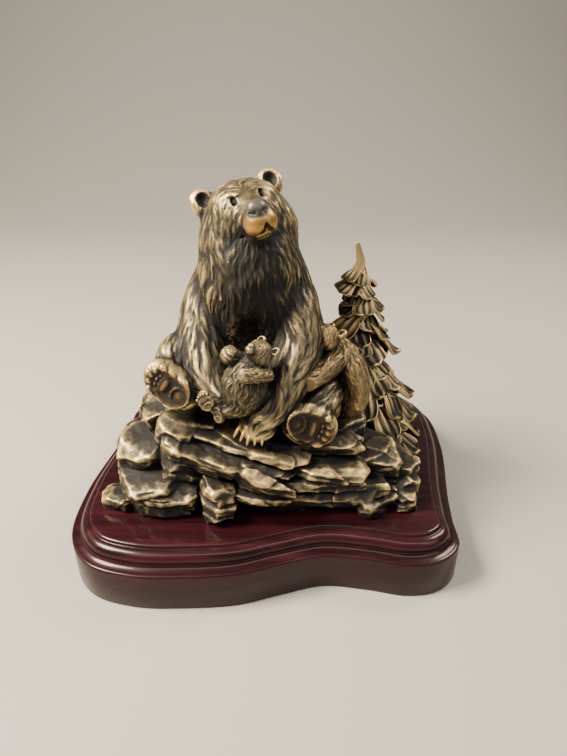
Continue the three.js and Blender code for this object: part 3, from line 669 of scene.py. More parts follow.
def mother_clay():
    clay = Clay((-104, -82, 84), (66, 64, 280), 0.55)
    clay.add_mesh(limb(TORSO, sides=60), 3)
    clay.add_mesh(limb(RIGHT_LEG, (0, 0, 1)), 5)
    clay.add_mesh(limb(LEFT_LEG, (0, 0, 1)), 5)
    clay.add_mesh(limb(RIGHT_ARM), 5)
    clay.add_mesh(limb(LEFT_ARM), 5)
    clay.add_ball((0, -1, 0), (11.5, 9, 6.2), PAW, 4)
    # Neck ruff, shoulders and chest hollow
    clay.add_mesh(limb([(-16, 0, 240, 31, 27), (-15.5, -2, 222, 34, 33), (-15.5, 0, 200, 38, 35),
                        (-15.5, 4, 180, 38, 34)], sides=60), 5)
    clay.add_ball((-36, 6, 196), (15, 16, 18), blend=5)
    clay.add_ball((7, 6, 195), (15, 16, 18), blend=5)
    clay.cut_ball((-14, -37, 170), (14, 12, 20), blend=5)
    head(clay, MOTHER_HEAD)
    for place, length, width in SOLES:
        sole(clay, place, length, width)
    return clay


def mother_coat():
    flows = [
        flow_of(TORSO[::-1], 24, 2.0), flow_of(RIGHT_ARM, 22, 1.9), flow_of(LEFT_ARM, 22, 1.9),
        flow_of(RIGHT_LEG, 17, 1.8), flow_of(LEFT_LEG, 17, 1.8),
    ]
    return Coat(flows, MOTHER_HEAD)


def bare_places(p):
    """Where the mother has no long fur: the front of the muzzle, its bridge and the soles."""
    q = MOTHER_HEAD.local(p)
    bare = (q[:, 1] > 33 - 7 * np.clip((10 - np.abs(q[:, 0])) / 5, 0, 1) * (q[:, 2] > -9)) & (
        np.linalg.norm(q, axis=1) < 60)
    for place, length, width in SOLES:
        f = place.local(p)
        inside = np.hypot(f[:, 0] / (width / 2 + 2), f[:, 2] / (length / 2 + 2)) < 1
        bare |= (np.abs(f[:, 1] - 2) < 7) & inside
    return bare


def mother(shade):
    clay = mother_clay()
    rng = np.random.default_rng(7)
    coat = mother_coat()
    points, _ = clay.surface()
    open_skin = points[(points[:, 2] > 92) & ~bare_places(points)]
    q = MOTHER_HEAD.local(open_skin)
    on_head = (np.abs(q) < (36, 40, 34)).all(1) & (q[:, 1] > -10)
    chest = np.linalg.norm((open_skin - CHEST) / CHEST_REACH, axis=1) < 1
    body = open_skin[~on_head & ~chest]
    broad = spread(body, rng, 7.5)
    brush(clay, coat, broad, rng, 2.8, 1.4, 0.15, 8, -0.35, sink=-0.5)
    near = body[body[:, 1] < 14]
    fine = np.vstack([spread(near, rng, 2.3), spread(body[body[:, 1] >= 14], rng, 3.2)])
    brush(clay, coat, fine, rng, 1.0, 0.85, 0.16, 7, 0.25)
    curls = spread(open_skin[chest], rng, 2.3)
    swirl = rng.choice([-1.6, 1.6], len(curls))
    brush(clay, coat, curls, rng, 0.75, 0.25, 0.5, 6, 0.5, swirl)
    face = open_skin[on_head]
    brush(clay, coat, spread(face, rng, 5.5), rng, 2.4, 1.2, 0.15, 8, -0.2, sink=-0.35)
    face = spread(face, rng, 2.1)
    brush(clay, coat, face, rng, 0.95, 1.0, 0.14, 7, 0.3)
    features(clay, MOTHER_HEAD)
    for place, length, width in SOLES:
        sole(clay, place, length, width)
    shade.add(clay)
    points, quads = clay.surface()
    return thinned(object_of("mother_bear", points, quads))


# The cubs

LAP_LIMBS = [
    ([(-9, -54, 166, 8, 8), (-14, -55, 159, 12, 12), (-18, -57, 149, 15.5, 14), (-20, -58, 140, 14, 13),
      (-21, -56, 133, 9, 10)], (0, -1, 0)),
    ([(-15, -54, 161, 5.5, 5.5), (-23, -54, 167, 5.2, 5.2), (-28, -55, 170.5, 5.4, 5.6)], (0, -1, 0.2)),
    ([(-2, -62, 159, 4.2, 4.2), (-9, -69, 162.5, 4.2, 4), (-17, -71.5, 163.5, 4.2, 3.6)], (0, -1, 0.2)),
    ([(-22, -58, 139, 9, 9), (-34, -60, 140, 7, 7), (-44, -61, 140, 6.5, 7)], (0, -1, 0.2)),
    ([(-20, -62, 135, 7, 7), (-28, -64, 133.5, 5.5, 6.5), (-35, -63, 132.5, 4.6, 7)], (0, -1, 0.2)),
]
LAP_SOLES = [
    (Place((-44.5, -67, 141), (-0.3, -0.9, 0.2), (-0.6, 0.2, 0.8)), 16, 14),
    (Place((-36.5, -69.5, 132.5), (-0.5, -0.85, 0.1), (-0.2, 0.1, 0.97)), 15, 9),
]
LEAN_LIMBS = [
    ([(43, -14, 160, 8, 8), (50, -15, 151, 12, 11), (56, -13, 135, 12.5, 12), (58.5, -15, 116, 10, 10.5),
      (57.5, -19, 98, 9, 9.5)], (0, -1, 0)),
    ([(50, -10, 152, 8, 8), (40, -8, 146, 8, 9), (28, -10, 142, 7, 8)], (0, -1, 0)),
    ([(52, -18, 152, 9, 8), (43, -28, 149, 8.5, 7.5), (34, -38, 146.5, 7.5, 6.5), (25, -46, 144, 6, 5.5),
      (18, -50, 142, 4.5, 4)], (0, -0.4, 1)),
    ([(54, -18, 152, 9, 9), (60, -24, 144, 9, 8.5), (64, -29, 134, 8, 8), (65, -33, 125, 6.2, 6.8),
      (63.5, -36, 118, 4.5, 5)], (0, -1, 0)),
]


def cub(name, shade, low, high, limbs, place, seed, lengths, soles=(), ear=1.0, snout=0.8):
    """A small bear, with its coat in finer locks."""
    clay = Clay(low, high, 0.42, 3.0)
    for rows, face in limbs:
        clay.add_mesh(limb(rows, face, sides=28, rings=28), 2.5)
    head(clay, place, snout, 2.5, ear)
    rng = np.random.default_rng(seed)
    flows = [flow_of(rows, long, 1.5) for (rows, face), long in zip(limbs, lengths)]
    coat = Coat(flows, place, 0.42)
    points, _ = clay.surface()
    q = place.local(points)
    bare = (q[:, 1] > 30) & (np.linalg.norm(q, axis=1) < 50)
    skin_points = points[~bare]
    brush(clay, coat, spread(skin_points, rng, 3.6), rng, 2.2, 1.2, 0.25, 6, -0.2, sink=-0.2)
    starts = spread(skin_points, rng, 1.7)
    brush(clay, coat, starts, rng, 1.0, 1.0, 0.25, 5, 0.4)
    features(clay, place, snout, ear)
    for spot, length, width in soles:
        sole(clay, spot, length, width)
    shade.add(clay)
    points, quads = clay.surface()
    return thinned(object_of(name, points, quads), 110000)


# The rock ledges

def slab_distance(clay, row, seed, ripple, lump, crack):
    """A worn slab with a chipped outline, split along its bed into thin leaves."""
    cx, cy, cz, length, width, thick, yaw, front, right = row
    a, b, c = (math.radians(v) for v in (front, right, yaw))
    rx = np.array([[1, 0, 0], [0, math.cos(a), -math.sin(a)], [0, math.sin(a), math.cos(a)]])
    ry = np.array([[math.cos(b), 0, math.sin(b)], [0, 1, 0], [-math.sin(b), 0, math.cos(b)]])
    rz = np.array([[math.cos(c), -math.sin(c), 0], [math.sin(c), math.cos(c), 0], [0, 0, 1]])
    turn = rz @ ry @ rx
    half = np.abs(turn) @ (np.array([length, width, thick]) / 2) + clay.far
    found = clay.block(np.array([cx, cy, cz]) - half, np.array([cx, cy, cz]) + half)
    if found is None:
        return None
    lo, hi, sl = found
    x, y, z = clay.coords(lo, hi)
    x, y, z = x - cx, y - cy, z - cz
    u, v, w = (np.float32(turn[0, k]) * x + np.float32(turn[1, k]) * y + np.float32(turn[2, k]) * z
               for k in range(3))
    corners = []
    for i in range(8):
        t = (i + 0.5 + 0.42 * rough(seed * 13 + i)) / 8 * 2 * math.pi
        square = 1 / max(abs(math.cos(t)), abs(math.sin(t)))
        r = 0.5 * min(square, 1.22) * (1 + 0.12 * rough(seed * 7 + i * 3))
        corners.append((r * math.cos(t) * length, r * math.sin(t) * width))
    bed = ripple[sl] * 1.1 + lump[sl] * 4.5
    rng = np.random.default_rng(seed)
    edges = np.cumsum(rng.uniform(1.8, 7.0, 36)) - 78
    stand = rng.uniform(-1, 1, 35)
    stand[::2] = np.abs(stand[::2])
    at = np.stack([edges[:-1] + 0.4, edges[1:] - 0.4], 1).ravel()
    leaf = np.interp(w + bed, at, np.repeat(stand, 2)).astype(np.float32)
    d = np.full(np.broadcast(u, v, w).shape, -99, np.float32)
    for i in range(8):
        (ax, ay), (bx, by) = corners[i], corners[(i + 1) % 8]
        nx, ny = by - ay, ax - bx
        size = math.hypot(nx, ny)
        d = np.maximum(d, ((u - ax) * nx + (v - ay) * ny) / size)
    d = d + lump[sl] * 2.8 + ripple[sl] * 1.0 - 1.8 * leaf
    top = np.abs(w + lump[sl] * 1.8 + ripple[sl] * 0.55) - thick / 2
    body = -smooth_min(-d, -top, min(1.8, thick * 0.2))
    # Chips: flat breaks across the corners and long edges
    for _ in range(16):
        n = unit(rng.normal(0, 1, 3) * (1 / length, 1 / width, 0.75 / thick))
        ends = np.abs(n) @ (np.array([length, width, thick]) / 2)
        chip = n[0] * u + n[1] * v + n[2] * (w + ripple[sl] * 0.8) - ends * rng.uniform(0.66, 0.86)
        body = np.maximum(body, chip.astype(np.float32))
    return sl, body + crack[sl]


def rocks(shade):
    clay = Clay((-131, -91, 45.5), (131, 75, 128), 0.7, 4.0)
    ripple = clay.noise(5.5, 11)
    lump = clay.noise(16, 12)
    crack = clay.noise((11, 11, 2.0), 14) * 0.55 + clay.noise(2.4, 15) * 0.28
    crack += np.clip((clay.noise((17, 17, 9), 16) - 0.12) * 9, 0, 1) * 1.2
    for i, row in enumerate(ROCKS):
        found = slab_distance(clay, row, i + 1, ripple, lump, crack)
        if found:
            sl, d = found
            clay.d[sl] = smooth_min(clay.d[sl], np.clip(d, -clay.far, clay.far), 1.2)
    _, _, z = clay.coords((0, 0, 0), clay.size)
    clay.d = np.maximum(clay.d, CASTING_FOOT - z)
    shade.add(clay)
    points, quads = clay.surface()
    return thinned(object_of("rock_ledges", points, quads))


# Nodes

def node(tree, kind, inputs=None, **settings):
    """Adds a node with its settings, and fills or links its inputs."""
    made = tree.nodes.new(kind)
    for key, value in settings.items():
        setattr(made, key, value)
    for key, value in (inputs or {}).items():
        socket = made.inputs[key]
        if isinstance(value, bpy.types.NodeSocket):
            tree.links.new(value, socket)
        else:
            socket.default_value = value
    return made


def linear(hex_colour):
    """An sRGB hex colour as linear values with alpha."""
    c = [int(hex_colour[i:i + 2], 16) / 255 for i in (1, 3, 5)]
    return tuple(v / 12.92 if v <= 0.04045 else ((v + 0.055) / 1.055) ** 2.4 for v in c) + (1.0,)


def ramp(tree, fac, stops):
    made = node(tree, "ShaderNodeValToRGB", {0: fac})
    bar = made.color_ramp
    while len(bar.elements) < len(stops):
        bar.elements.new(0.5)
    for element, (at, colour) in zip(bar.elements, stops):
        element.position = at
        element.color = linear(colour) if isinstance(colour, str) else (colour, colour, colour, 1)
    return made.outputs[0]


def math_of(tree, kind, a, b=0.0, clamp=False):
    return node(tree, "ShaderNodeMath", {0: a, 1: b}, operation=kind, use_clamp=clamp).outputs[0]


def antique_bronze():
    """Cold-cast bronze with an antique patina, brushed on dark and worn back on the high places.
    It gives soft metal light on the ridges, near black in the hollows where patina and painted
    shade gather, and ochre on worn edges."""
    mat = bpy.data.materials.new("antique_bronze")
    mat.use_nodes = True
    tree = mat.node_tree
    tree.nodes.clear()
    place = node(tree, "ShaderNodeTexCoord").outputs["Object"]
    fine = node(tree, "ShaderNodeAttribute", attribute_name="fine").outputs["Fac"]
    broad = node(tree, "ShaderNodeAttribute", attribute_name="broad").outputs["Fac"]
    patina_and_painted_shade = node(tree, "ShaderNodeAttribute", attribute_name="patina_and_painted_shade").outputs["Fac"]
    gold = node(tree, "ShaderNodeAttribute", attribute_name="gold").outputs["Fac"]
    black = node(tree, "ShaderNodeAttribute", attribute_name="black").outputs["Fac"]
    eye = node(tree, "ShaderNodeAttribute", attribute_name="eye").outputs["Fac"]
    stone = node(tree, "ShaderNodeAttribute", attribute_name="stone").outputs["Fac"]
    # Patina clouds about 14 mm across and grain of 1 mm
    clouds = node(tree, "ShaderNodeTexNoise", {"Vector": place, "Scale": 70.0, "Detail": 3.0}).outputs["Fac"]
    grain = node(tree, "ShaderNodeTexNoise", {"Vector": place, "Scale": 900.0, "Detail": 2.0}).outputs["Fac"]
    wear_and_painted_shade = math_of(tree, "MULTIPLY_ADD", fine, 1.0)
    wear_and_painted_shade.node.inputs[1].default_value = 0.85
    wear_and_painted_shade.node.inputs[2].default_value = 0.46
    wear_and_painted_shade = math_of(tree, "ADD", wear_and_painted_shade, math_of(tree, "MULTIPLY", broad, 0.12))
    # Enclosed hollows darken: patina that gathers there, and painted shade where little light reaches
    wear_and_painted_shade = math_of(tree, "SUBTRACT", wear_and_painted_shade, math_of(tree, "MULTIPLY", patina_and_painted_shade, 0.75))
    cloudy = math_of(tree, "MULTIPLY", math_of(tree, "SUBTRACT", clouds, 0.5), 0.25)
    wear_and_painted_shade = math_of(tree, "ADD", wear_and_painted_shade, cloudy)
    # Grit of the modelled stone, 2 to 3 mm
    grit = node(tree, "ShaderNodeTexNoise", {
        "Vector": place, "Scale": 420.0, "Detail": 4.0, "Roughness": 0.65}).outputs["Fac"]
    flecks = math_of(tree, "MULTIPLY", math_of(tree, "SUBTRACT", grit, 0.5),
                     math_of(tree, "MULTIPLY", stone, 0.55))
    wear_and_painted_shade = math_of(tree, "ADD", wear_and_painted_shade, flecks)
    grainy = math_of(tree, "MULTIPLY", math_of(tree, "SUBTRACT", grain, 0.5), 0.15)
    wear_and_painted_shade = math_of(tree, "ADD", wear_and_painted_shade, grainy, True)
    tone = ramp(tree, wear_and_painted_shade, [(0.0, "#0a0908"), (0.25, "#231f18"), (0.46, "#564e3a"),
                               (0.68, "#8e7f5c"), (1.0, "#dcc081")])
    ochre = ramp(tree, wear_and_painted_shade, [(0.0, "#180f07"), (0.35, "#3d2813"), (0.75, "#664a26"), (1.0, "#ab8547")])
    # Ochre shows in patches about 22 mm across, on worn edges
    patches = node(tree, "ShaderNodeTexNoise", {"Vector": place, "Scale": 45.0, "Detail": 2.0}).outputs["Fac"]
    warm = ramp(tree, patches, [(0.42, 0.0), (0.66, 0.8)])
    edge = math_of(tree, "MULTIPLY", ramp(tree, fine, [(0.12, 0.0), (0.5, 0.8)]), 0.7)
    warm = math_of(tree, "MAXIMUM", math_of(tree, "MULTIPLY", warm, edge), gold, True)
    mixed = node(tree, "ShaderNodeMix", {0: warm, 6: tone, 7: ochre}, data_type="RGBA").outputs[2]
    mixed = node(tree, "ShaderNodeMix", {0: black, 6: mixed, 7: linear("#45433f")}, data_type="RGBA").outputs[2]
    mixed = node(tree, "ShaderNodeMix", {0: eye, 6: mixed, 7: linear("#0c0b0b")}, data_type="RGBA").outputs[2]
    rough_value = ramp(tree, wear_and_painted_shade, [(0.0, 0.72), (0.4, 0.52), (1.0, 0.38)])
    rough_value = math_of(tree, "SUBTRACT", rough_value, math_of(tree, "MULTIPLY", black, 0.03))
    metal = ramp(tree, wear_and_painted_shade, [(0.1, 0.3), (0.5, 0.75)])
    painted = math_of(tree, "MULTIPLY", black, 0.95)
    metal = math_of(tree, "MULTIPLY", metal, math_of(tree, "SUBTRACT", 1.0, painted))
    height = math_of(tree, "ADD", math_of(tree, "MULTIPLY", grain, 0.5),
                     math_of(tree, "MULTIPLY", grit, math_of(tree, "MULTIPLY", stone, 1.5)))
    bump = node(tree, "ShaderNodeBump", {"Height": height, "Strength": 0.5, "Distance": 0.0005}).outputs[0]
    shader = node(tree, "ShaderNodeBsdfPrincipled", {
        "Base Color": mixed, "Metallic": metal, "Roughness": rough_value, "Normal": bump})
    node(tree, "ShaderNodeOutputMaterial", {"Surface": shader.outputs[0]})
    return mat


def lacquered_mahogany():
    """Mahogany, stained red-brown and lacquered to a gloss: dark grain under a clear coat with
    crisp light along the mouldings."""
    mat = bpy.data.materials.new("lacquered_mahogany")
    mat.use_nodes = True
    tree = mat.node_tree
    tree.nodes.clear()
    place = node(tree, "ShaderNodeTexCoord").outputs["Object"]
    # Grain runs along the base; pores about 0.6 mm wide and 12 mm long
    along = node(tree, "ShaderNodeMapping", {"Vector": place, "Scale": (0.05, 1.0, 1.0)}).outputs[0]
    bands = node(tree, "ShaderNodeTexNoise", {
        "Vector": along, "Scale": 160.0, "Detail": 4.0, "Distortion": 0.4})
    pores = node(tree, "ShaderNodeTexNoise", {"Vector": along, "Scale": 1400.0, "Detail": 2.0})
    figure = math_of(tree, "ADD", math_of(tree, "MULTIPLY", bands.outputs["Fac"], 0.75),
                     math_of(tree, "MULTIPLY", pores.outputs["Fac"], 0.25))
    colour = ramp(tree, figure, [(0.35, "#17060a"), (0.5, "#230a10"), (0.66, "#310f17")])
    gloss = ramp(tree, bands.outputs["Fac"], [(0.3, 0.34), (0.7, 0.44)])
    bump = node(tree, "ShaderNodeBump", {"Height": figure, "Strength": 0.12, "Distance": 0.0002}).outputs[0]
    shader = node(tree, "ShaderNodeBsdfPrincipled", {
        "Base Color": colour, "Roughness": gloss, "Normal": bump, "Coat Weight": 0.36,
        "Coat Roughness": 0.14, "Specular IOR Level": 0.1, "IOR": 1.5})
    node(tree, "ShaderNodeOutputMaterial", {"Surface": shader.outputs[0]})
    return mat


# The spruce

def bough_shape(seed):
    """One bough: a long petal with ridges and grooves along it, a wavy outline and a turned rim, its
    tip at the origin. It is 34 mm long and 21 mm wide before it is sized."""
    rng = np.random.default_rng(seed)
    rows, across = 19, 25
    t = np.linspace(0, 1, rows)
    s = spline([(-0.98, 0.72, 0.36, 3.0), (-0.7, 0.6, 0.62, 2.8), (-0.4, 0.38, 0.95, 2.4),
                (-0.16, 0.14, 1.12, 2.0), (0.0, 0.02, 1.02, 1.7)], t)
    way = unit(np.stack([np.gradient(s[:, 0]), np.gradient(s[:, 1])], 1))
    phase = rng.uniform(0, 6.28, 8)
    cup = rng.uniform(-1.8, 0.4)
    count = rng.uniform(1.5, 2.1)
    u = np.linspace(-1, 1, across)
    loops = []
    for k in range(rows):
        tip = math.sqrt(1 - np.clip((t[k] - 0.55) / 0.46, 0, 0.985) ** 2.6)
        sway = np.where(u > 0, math.sin(7 * t[k] + phase[0]), math.sin(6 * t[k] + phase[1]))
        side = 1 + sway * 0.1 * np.abs(u)
        half = 10.5 * s[k, 2] * tip * side
        bend = 0.5 * math.sin(4.5 * t[k] + phase[2])
        ridges = np.cos(2 * np.pi * (u * count * (0.75 + 0.3 * t[k]) + 0.12 * bend) + phase[3])
        ridges = 0.5 * (ridges - 0.5 * np.clip(-ridges, 0, 1)) * (1 - u ** 4) * min(1, 3 * t[k] + 0.3)
        rim = 1.3 * np.clip((np.abs(u) - 0.78) / 0.22, 0, 1) ** 1.5 * min(1, 2.4 * t[k])
        end_rim = 0.9 * np.clip((t[k] - 0.84) / 0.16, 0, 1) ** 1.5
        low_face = cup * u ** 2 + 1.2 * math.sin(phase[4]) * u + 0.7 * np.sin(6 * t[k] + phase[5] + 2.2 * u)
        low_face = low_face * tip + 1.6 * (max(t[k] - 0.7, 0) / 0.3) ** 1.6
        face = low_face + (rim + ridges) * tip + end_rim + s[k, 3] * (1 - 0.55 * u ** 4)
        mid = np.array([s[k, 0] * 28, 1.6 * math.sin(3 * t[k] + phase[6]) * (1 - t[k]), s[k, 1] * 28])
        out = np.array([-way[k, 1], 0, way[k, 0]])
        if out[2] < 0:
            out = -out
        push = np.clip((t[k] - 0.6) / 0.4, 0, 1) ** 2 * (0.9 * np.sin(5 * u + phase[7]) - 1.2 * u ** 2)
        along = np.outer(push, (way[k, 0], 0, way[k, 1]))
        top = mid + np.outer(face, out) + np.outer(u * half, (0, 1, 0)) + along
        low = mid + np.outer(low_face, out) + np.outer(u * half, (0, 1, 0)) + along
        loops.append(np.vstack([top, low[-2:0:-1]]))
    loops = np.array(loops)
    return skin(loops, loops[0].mean(0), loops[-1].mean(0))


def spruce_layout():
    """Where each bough's tip is, how it is turned and how big it is."""
    foot, tip = np.array(SPRUCE_FOOT, float), np.array(SPRUCE_TIP, float)
    rows = []
    for tier, (height, reach, count, first, length, half) in enumerate(SPRUCE_TIERS):
        centre = foot + (tip - foot) * (height - foot[2]) / (tip[2] - foot[2])
        for i in range(count):
            seed = tier * 20 + i
            yaw = math.radians(first + (i + 0.16 * rough(seed)) / count * 360)
            swing = 1 + 0.1 * rough(seed + 90)
            drop = 7 * rough(seed + 50)
            at = (centre[0] + math.cos(yaw) * reach * swing, centre[1] + math.sin(yaw) * reach * swing,
                  height + drop)
            rows.append((*at, yaw, length * swing / 29, 0.86 * half / 10.5, (seed * 3 + tier) % 5))
            # A shorter bough in each gap, further in and higher
            if rough(seed + 63) < -0.2:
                continue
            turn = yaw + math.radians(180 / count)
            inner = reach * (0.8 + 0.06 * rough(seed + 7))
            at = (centre[0] + math.cos(turn) * inner, centre[1] + math.sin(turn) * inner,
                  height + 9 + 3 * rough(seed + 31))
            rows.append((*at, turn, length * 0.85 / 29, 0.8 * half / 10.5, (seed * 3 + tier + 2) % 5))
    # Two leaves that sweep down to the left from the leader
    rows += [(54, 16.5, 196, math.radians(204), 0.62, 0.78, 1),
             (50.5, 13, 188, math.radians(216), 0.62, 0.8, 3)]
    return np.array(rows)


def spruce_tree(material):
    """Geometry nodes that set a bough on every point of the layout and make them one mesh."""
    tree = bpy.data.node_groups.new("spruce boughs", "GeometryNodeTree")
    face = tree.interface
    face.new_socket("Geometry", in_out="INPUT", socket_type="NodeSocketGeometry")
    size = face.new_socket("Bough size", in_out="INPUT", socket_type="NodeSocketFloat")
    tilt = face.new_socket("Tilt spread", in_out="INPUT", socket_type="NodeSocketFloat")
    kinds = [face.new_socket(f"Bough {k + 1}", in_out="INPUT", socket_type="NodeSocketObject")
             for k in range(5)]
    face.new_socket("Geometry", in_out="OUTPUT", socket_type="NodeSocketGeometry")
    given = node(tree, "NodeGroupInput")
    turn = node(tree, "GeometryNodeInputNamedAttribute", {"Name": "turn"}, data_type="FLOAT_VECTOR").outputs[0]
    grow = node(tree, "GeometryNodeInputNamedAttribute", {"Name": "grow"}, data_type="FLOAT_VECTOR").outputs[0]
    kind = node(tree, "GeometryNodeInputNamedAttribute", {"Name": "kind"}, data_type="INT").outputs[0]
    loose = node(tree, "FunctionNodeRandomValue", {"Seed": 5}, data_type="FLOAT").outputs[1]
    loose = math_of(tree, "MULTIPLY", math_of(tree, "SUBTRACT", loose, 0.5), given.outputs["Tilt spread"])
    lean = node(tree, "FunctionNodeRandomValue", {"Seed": 9}, data_type="FLOAT").outputs[1]
    lean = math_of(tree, "MULTIPLY", math_of(tree, "SUBTRACT", lean, 0.5), given.outputs["Tilt spread"])
    nod = node(tree, "ShaderNodeCombineXYZ", {"Y": math_of(tree, "MULTIPLY", loose, 0.7), "X": lean}).outputs[0]
    turned = node(tree, "ShaderNodeVectorMath", {0: turn, 1: nod}, operation="ADD").outputs[0]
    sized = node(tree, "ShaderNodeVectorMath", {0: grow, "Scale": given.outputs["Bough size"]},
                 operation="SCALE").outputs[0]
    parts = []
    for k in range(5):
        shape = node(tree, "GeometryNodeObjectInfo", {"Object": given.outputs[f"Bough {k + 1}"]},
                     transform_space="ORIGINAL").outputs["Geometry"]
        chosen = node(tree, "FunctionNodeCompare", {2: kind, 3: k}, data_type="INT",
                      operation="EQUAL").outputs[0]
        parts.append(node(tree, "GeometryNodeInstanceOnPoints", {
            "Points": given.outputs["Geometry"], "Selection": chosen, "Instance": shape,
            "Rotation": turned, "Scale": sized}).outputs[0])
    joined = node(tree, "GeometryNodeJoinGeometry")
    for part in parts:
        tree.links.new(part, joined.inputs[0])
    whole = node(tree, "GeometryNodeRealizeInstances", {0: joined.outputs[0]}).outputs[0]
    done = node(tree, "GeometryNodeSetMaterial", {"Geometry": whole, "Material": material}).outputs[0]
    smooth = node(tree, "GeometryNodeSetShadeSmooth", {"Geometry": done}).outputs[0]
    node(tree, "NodeGroupOutput", {0: smooth})
    return tree, dict(size=size.identifier, tilt=tilt.identifier, kinds=[k.identifier for k in kinds])


def spruce(shade, material):
    rows = spruce_layout()
    holder = object_of("spruce", rows[:, :3], np.zeros((0, 3), int))
    for name, values in (("turn", np.stack([rows[:, 3] * 0, rows[:, 3] * 0, rows[:, 3]], 1)),
                         ("grow", np.stack([rows[:, 4], rows[:, 5], rows[:, 4]], 1))):
        a = holder.data.attributes.new(name, "FLOAT_VECTOR", "POINT")
        a.data.foreach_set("vector", values.astype(np.float32).ravel())
    a = holder.data.attributes.new("kind", "INT", "POINT")
    a.data.foreach_set("value", rows[:, 6].astype(np.int32))
    shapes = [object_of(f"bough_{k + 1}", *bough_shape(k + 21)) for k in range(5)]
    tree, keys = spruce_tree(material)
    mod = holder.modifiers.new("boughs", "NODES")
    mod.node_group = tree
    mod[keys["size"]] = 1.0
    mod[keys["tilt"]] = 0.5
    for key, shape in zip(keys["kinds"], shapes):
        mod[key] = shape
    settled(holder)
    for shape in shapes:
        bpy.data.objects.remove(shape)
    points, tris = arrays_of(holder)
    foot, tip = np.array(SPRUCE_FOOT, float), np.array(SPRUCE_TIP, float)
    stem_rows = [(*(foot + (tip - foot) * k), r, r)
                 for k, r in ((0.01, 30), (0.4, 15), (0.78, 5), (0.9, 3.5))]
    leader = [(63.4, 22, 224.5, 1.7, 1.5), (65.6, 22, 216, 2.8, 2.4), (66.8, 21.5, 208.5, 3.8, 3.0),
              (65, 21, 201, 3.6, 3.2), (66, 22.5, 192, 3, 3)]
    for more, more_tris in (limb(stem_rows, ends=0.5, sides=40, rings=70),
                            limb(leader, (0.2, -1, 0.5), 0.6, 20, 30)):
        tris = np.vstack([tris, more_tris + len(points)])
        points = np.vstack([points, more])
    points[:, 2] = np.maximum(points[:, 2], CASTING_FOOT)
    bpy.data.objects.remove(holder)
    clay = Clay((20, -40, 44), (134, 82, 228), 1.5, 3.0)
    found = clay.mesh_distance(points, tris)
    clay.d[found[0]] = found[1]
    shade.add(clay)
    return object_of("spruce_tree", points, tris)


# Claws of the mother's resting paw

def claw_tree(material):
    """Geometry nodes that fan one claw into a row."""
    tree = bpy.data.node_groups.new("claw row", "GeometryNodeTree")
    face = tree.interface
    face.new_socket("Geometry", in_out="INPUT", socket_type="NodeSocketGeometry")
    count = face.new_socket("Claws", in_out="INPUT", socket_type="NodeSocketInt")
    width = face.new_socket("Fan width", in_out="INPUT", socket_type="NodeSocketFloat")
    face.new_socket("Geometry", in_out="OUTPUT", socket_type="NodeSocketGeometry")
    given = node(tree, "NodeGroupInput")
    half = math_of(tree, "MULTIPLY", given.outputs["Fan width"], 0.5)
    start = node(tree, "ShaderNodeCombineXYZ", {"X": math_of(tree, "MULTIPLY", half, -1.0)}).outputs[0]
    end = node(tree, "ShaderNodeCombineXYZ", {"X": half}).outputs[0]
    row = node(tree, "GeometryNodeMeshLine", {"Count": given.outputs["Claws"], "Start Location": start,
                                             "Offset": end}, mode="END_POINTS").outputs[0]
    spot = node(tree, "GeometryNodeInputPosition").outputs[0]
    x = node(tree, "ShaderNodeSeparateXYZ", {0: spot}).outputs["X"]
    share = math_of(tree, "DIVIDE", x, half)
    bow = math_of(tree, "MULTIPLY", math_of(tree, "ABSOLUTE", share), -2.5 * MM)
    back = node(tree, "ShaderNodeCombineXYZ", {"Y": bow}).outputs[0]
    row = node(tree, "GeometryNodeSetPosition", {"Geometry": row, "Offset": back}).outputs[0]
    splay = node(tree, "ShaderNodeCombineXYZ", {"Z": math_of(tree, "MULTIPLY", share, -0.22)}).outputs[0]
    placed_claws = node(tree, "GeometryNodeInstanceOnPoints", {
        "Points": row, "Instance": given.outputs["Geometry"], "Rotation": splay}).outputs[0]
    whole = node(tree, "GeometryNodeRealizeInstances", {0: placed_claws}).outputs[0]
    done = node(tree, "GeometryNodeSetMaterial", {"Geometry": whole, "Material": material}).outputs[0]
    node(tree, "NodeGroupOutput", {0: done})
    return tree, count.identifier, width.identifier


def claws(material):
    """One curved claw, set out as a row of five on the paw."""
    rows = [(0, -3, -1.6, 1.0, 1.1), (0, 0.5, 0.9, 1.25, 1.35), (0, 4, 2.0, 1.2, 1.35),
            (0, 7.5, 1.4, 0.95, 1.1), (0, 9.8, -1.0, 0.4, 0.4)]
    points, tris = limb(rows, (0, 0, 1), 0.6, 12, 18)
    obj = object_of("paw_claws", points, tris)
    tree, count, width = claw_tree(material)
    mod = obj.modifiers.new("claw row", "NODES")
    mod.node_group = tree
    mod[count] = 5
    mod[width] = 16.5 * MM
    settled(obj)
    points, tris = arrays_of(obj)
    bpy.data.objects.remove(obj)
    return object_of("paw_claws", CLAW_ROW.at(points), tris)


# The wooden base

BASE_HALF_OUTLINE = [
    (-153.5, -32), (-150.5, -82), (-132, -109), (-100, -120.5), (-62, -122), (-24, -119), (5, -110.5),
    (38, -102), (70, -105.5), (99, -111), (122, -107), (138, -92), (140, -66), (143, -38),
]


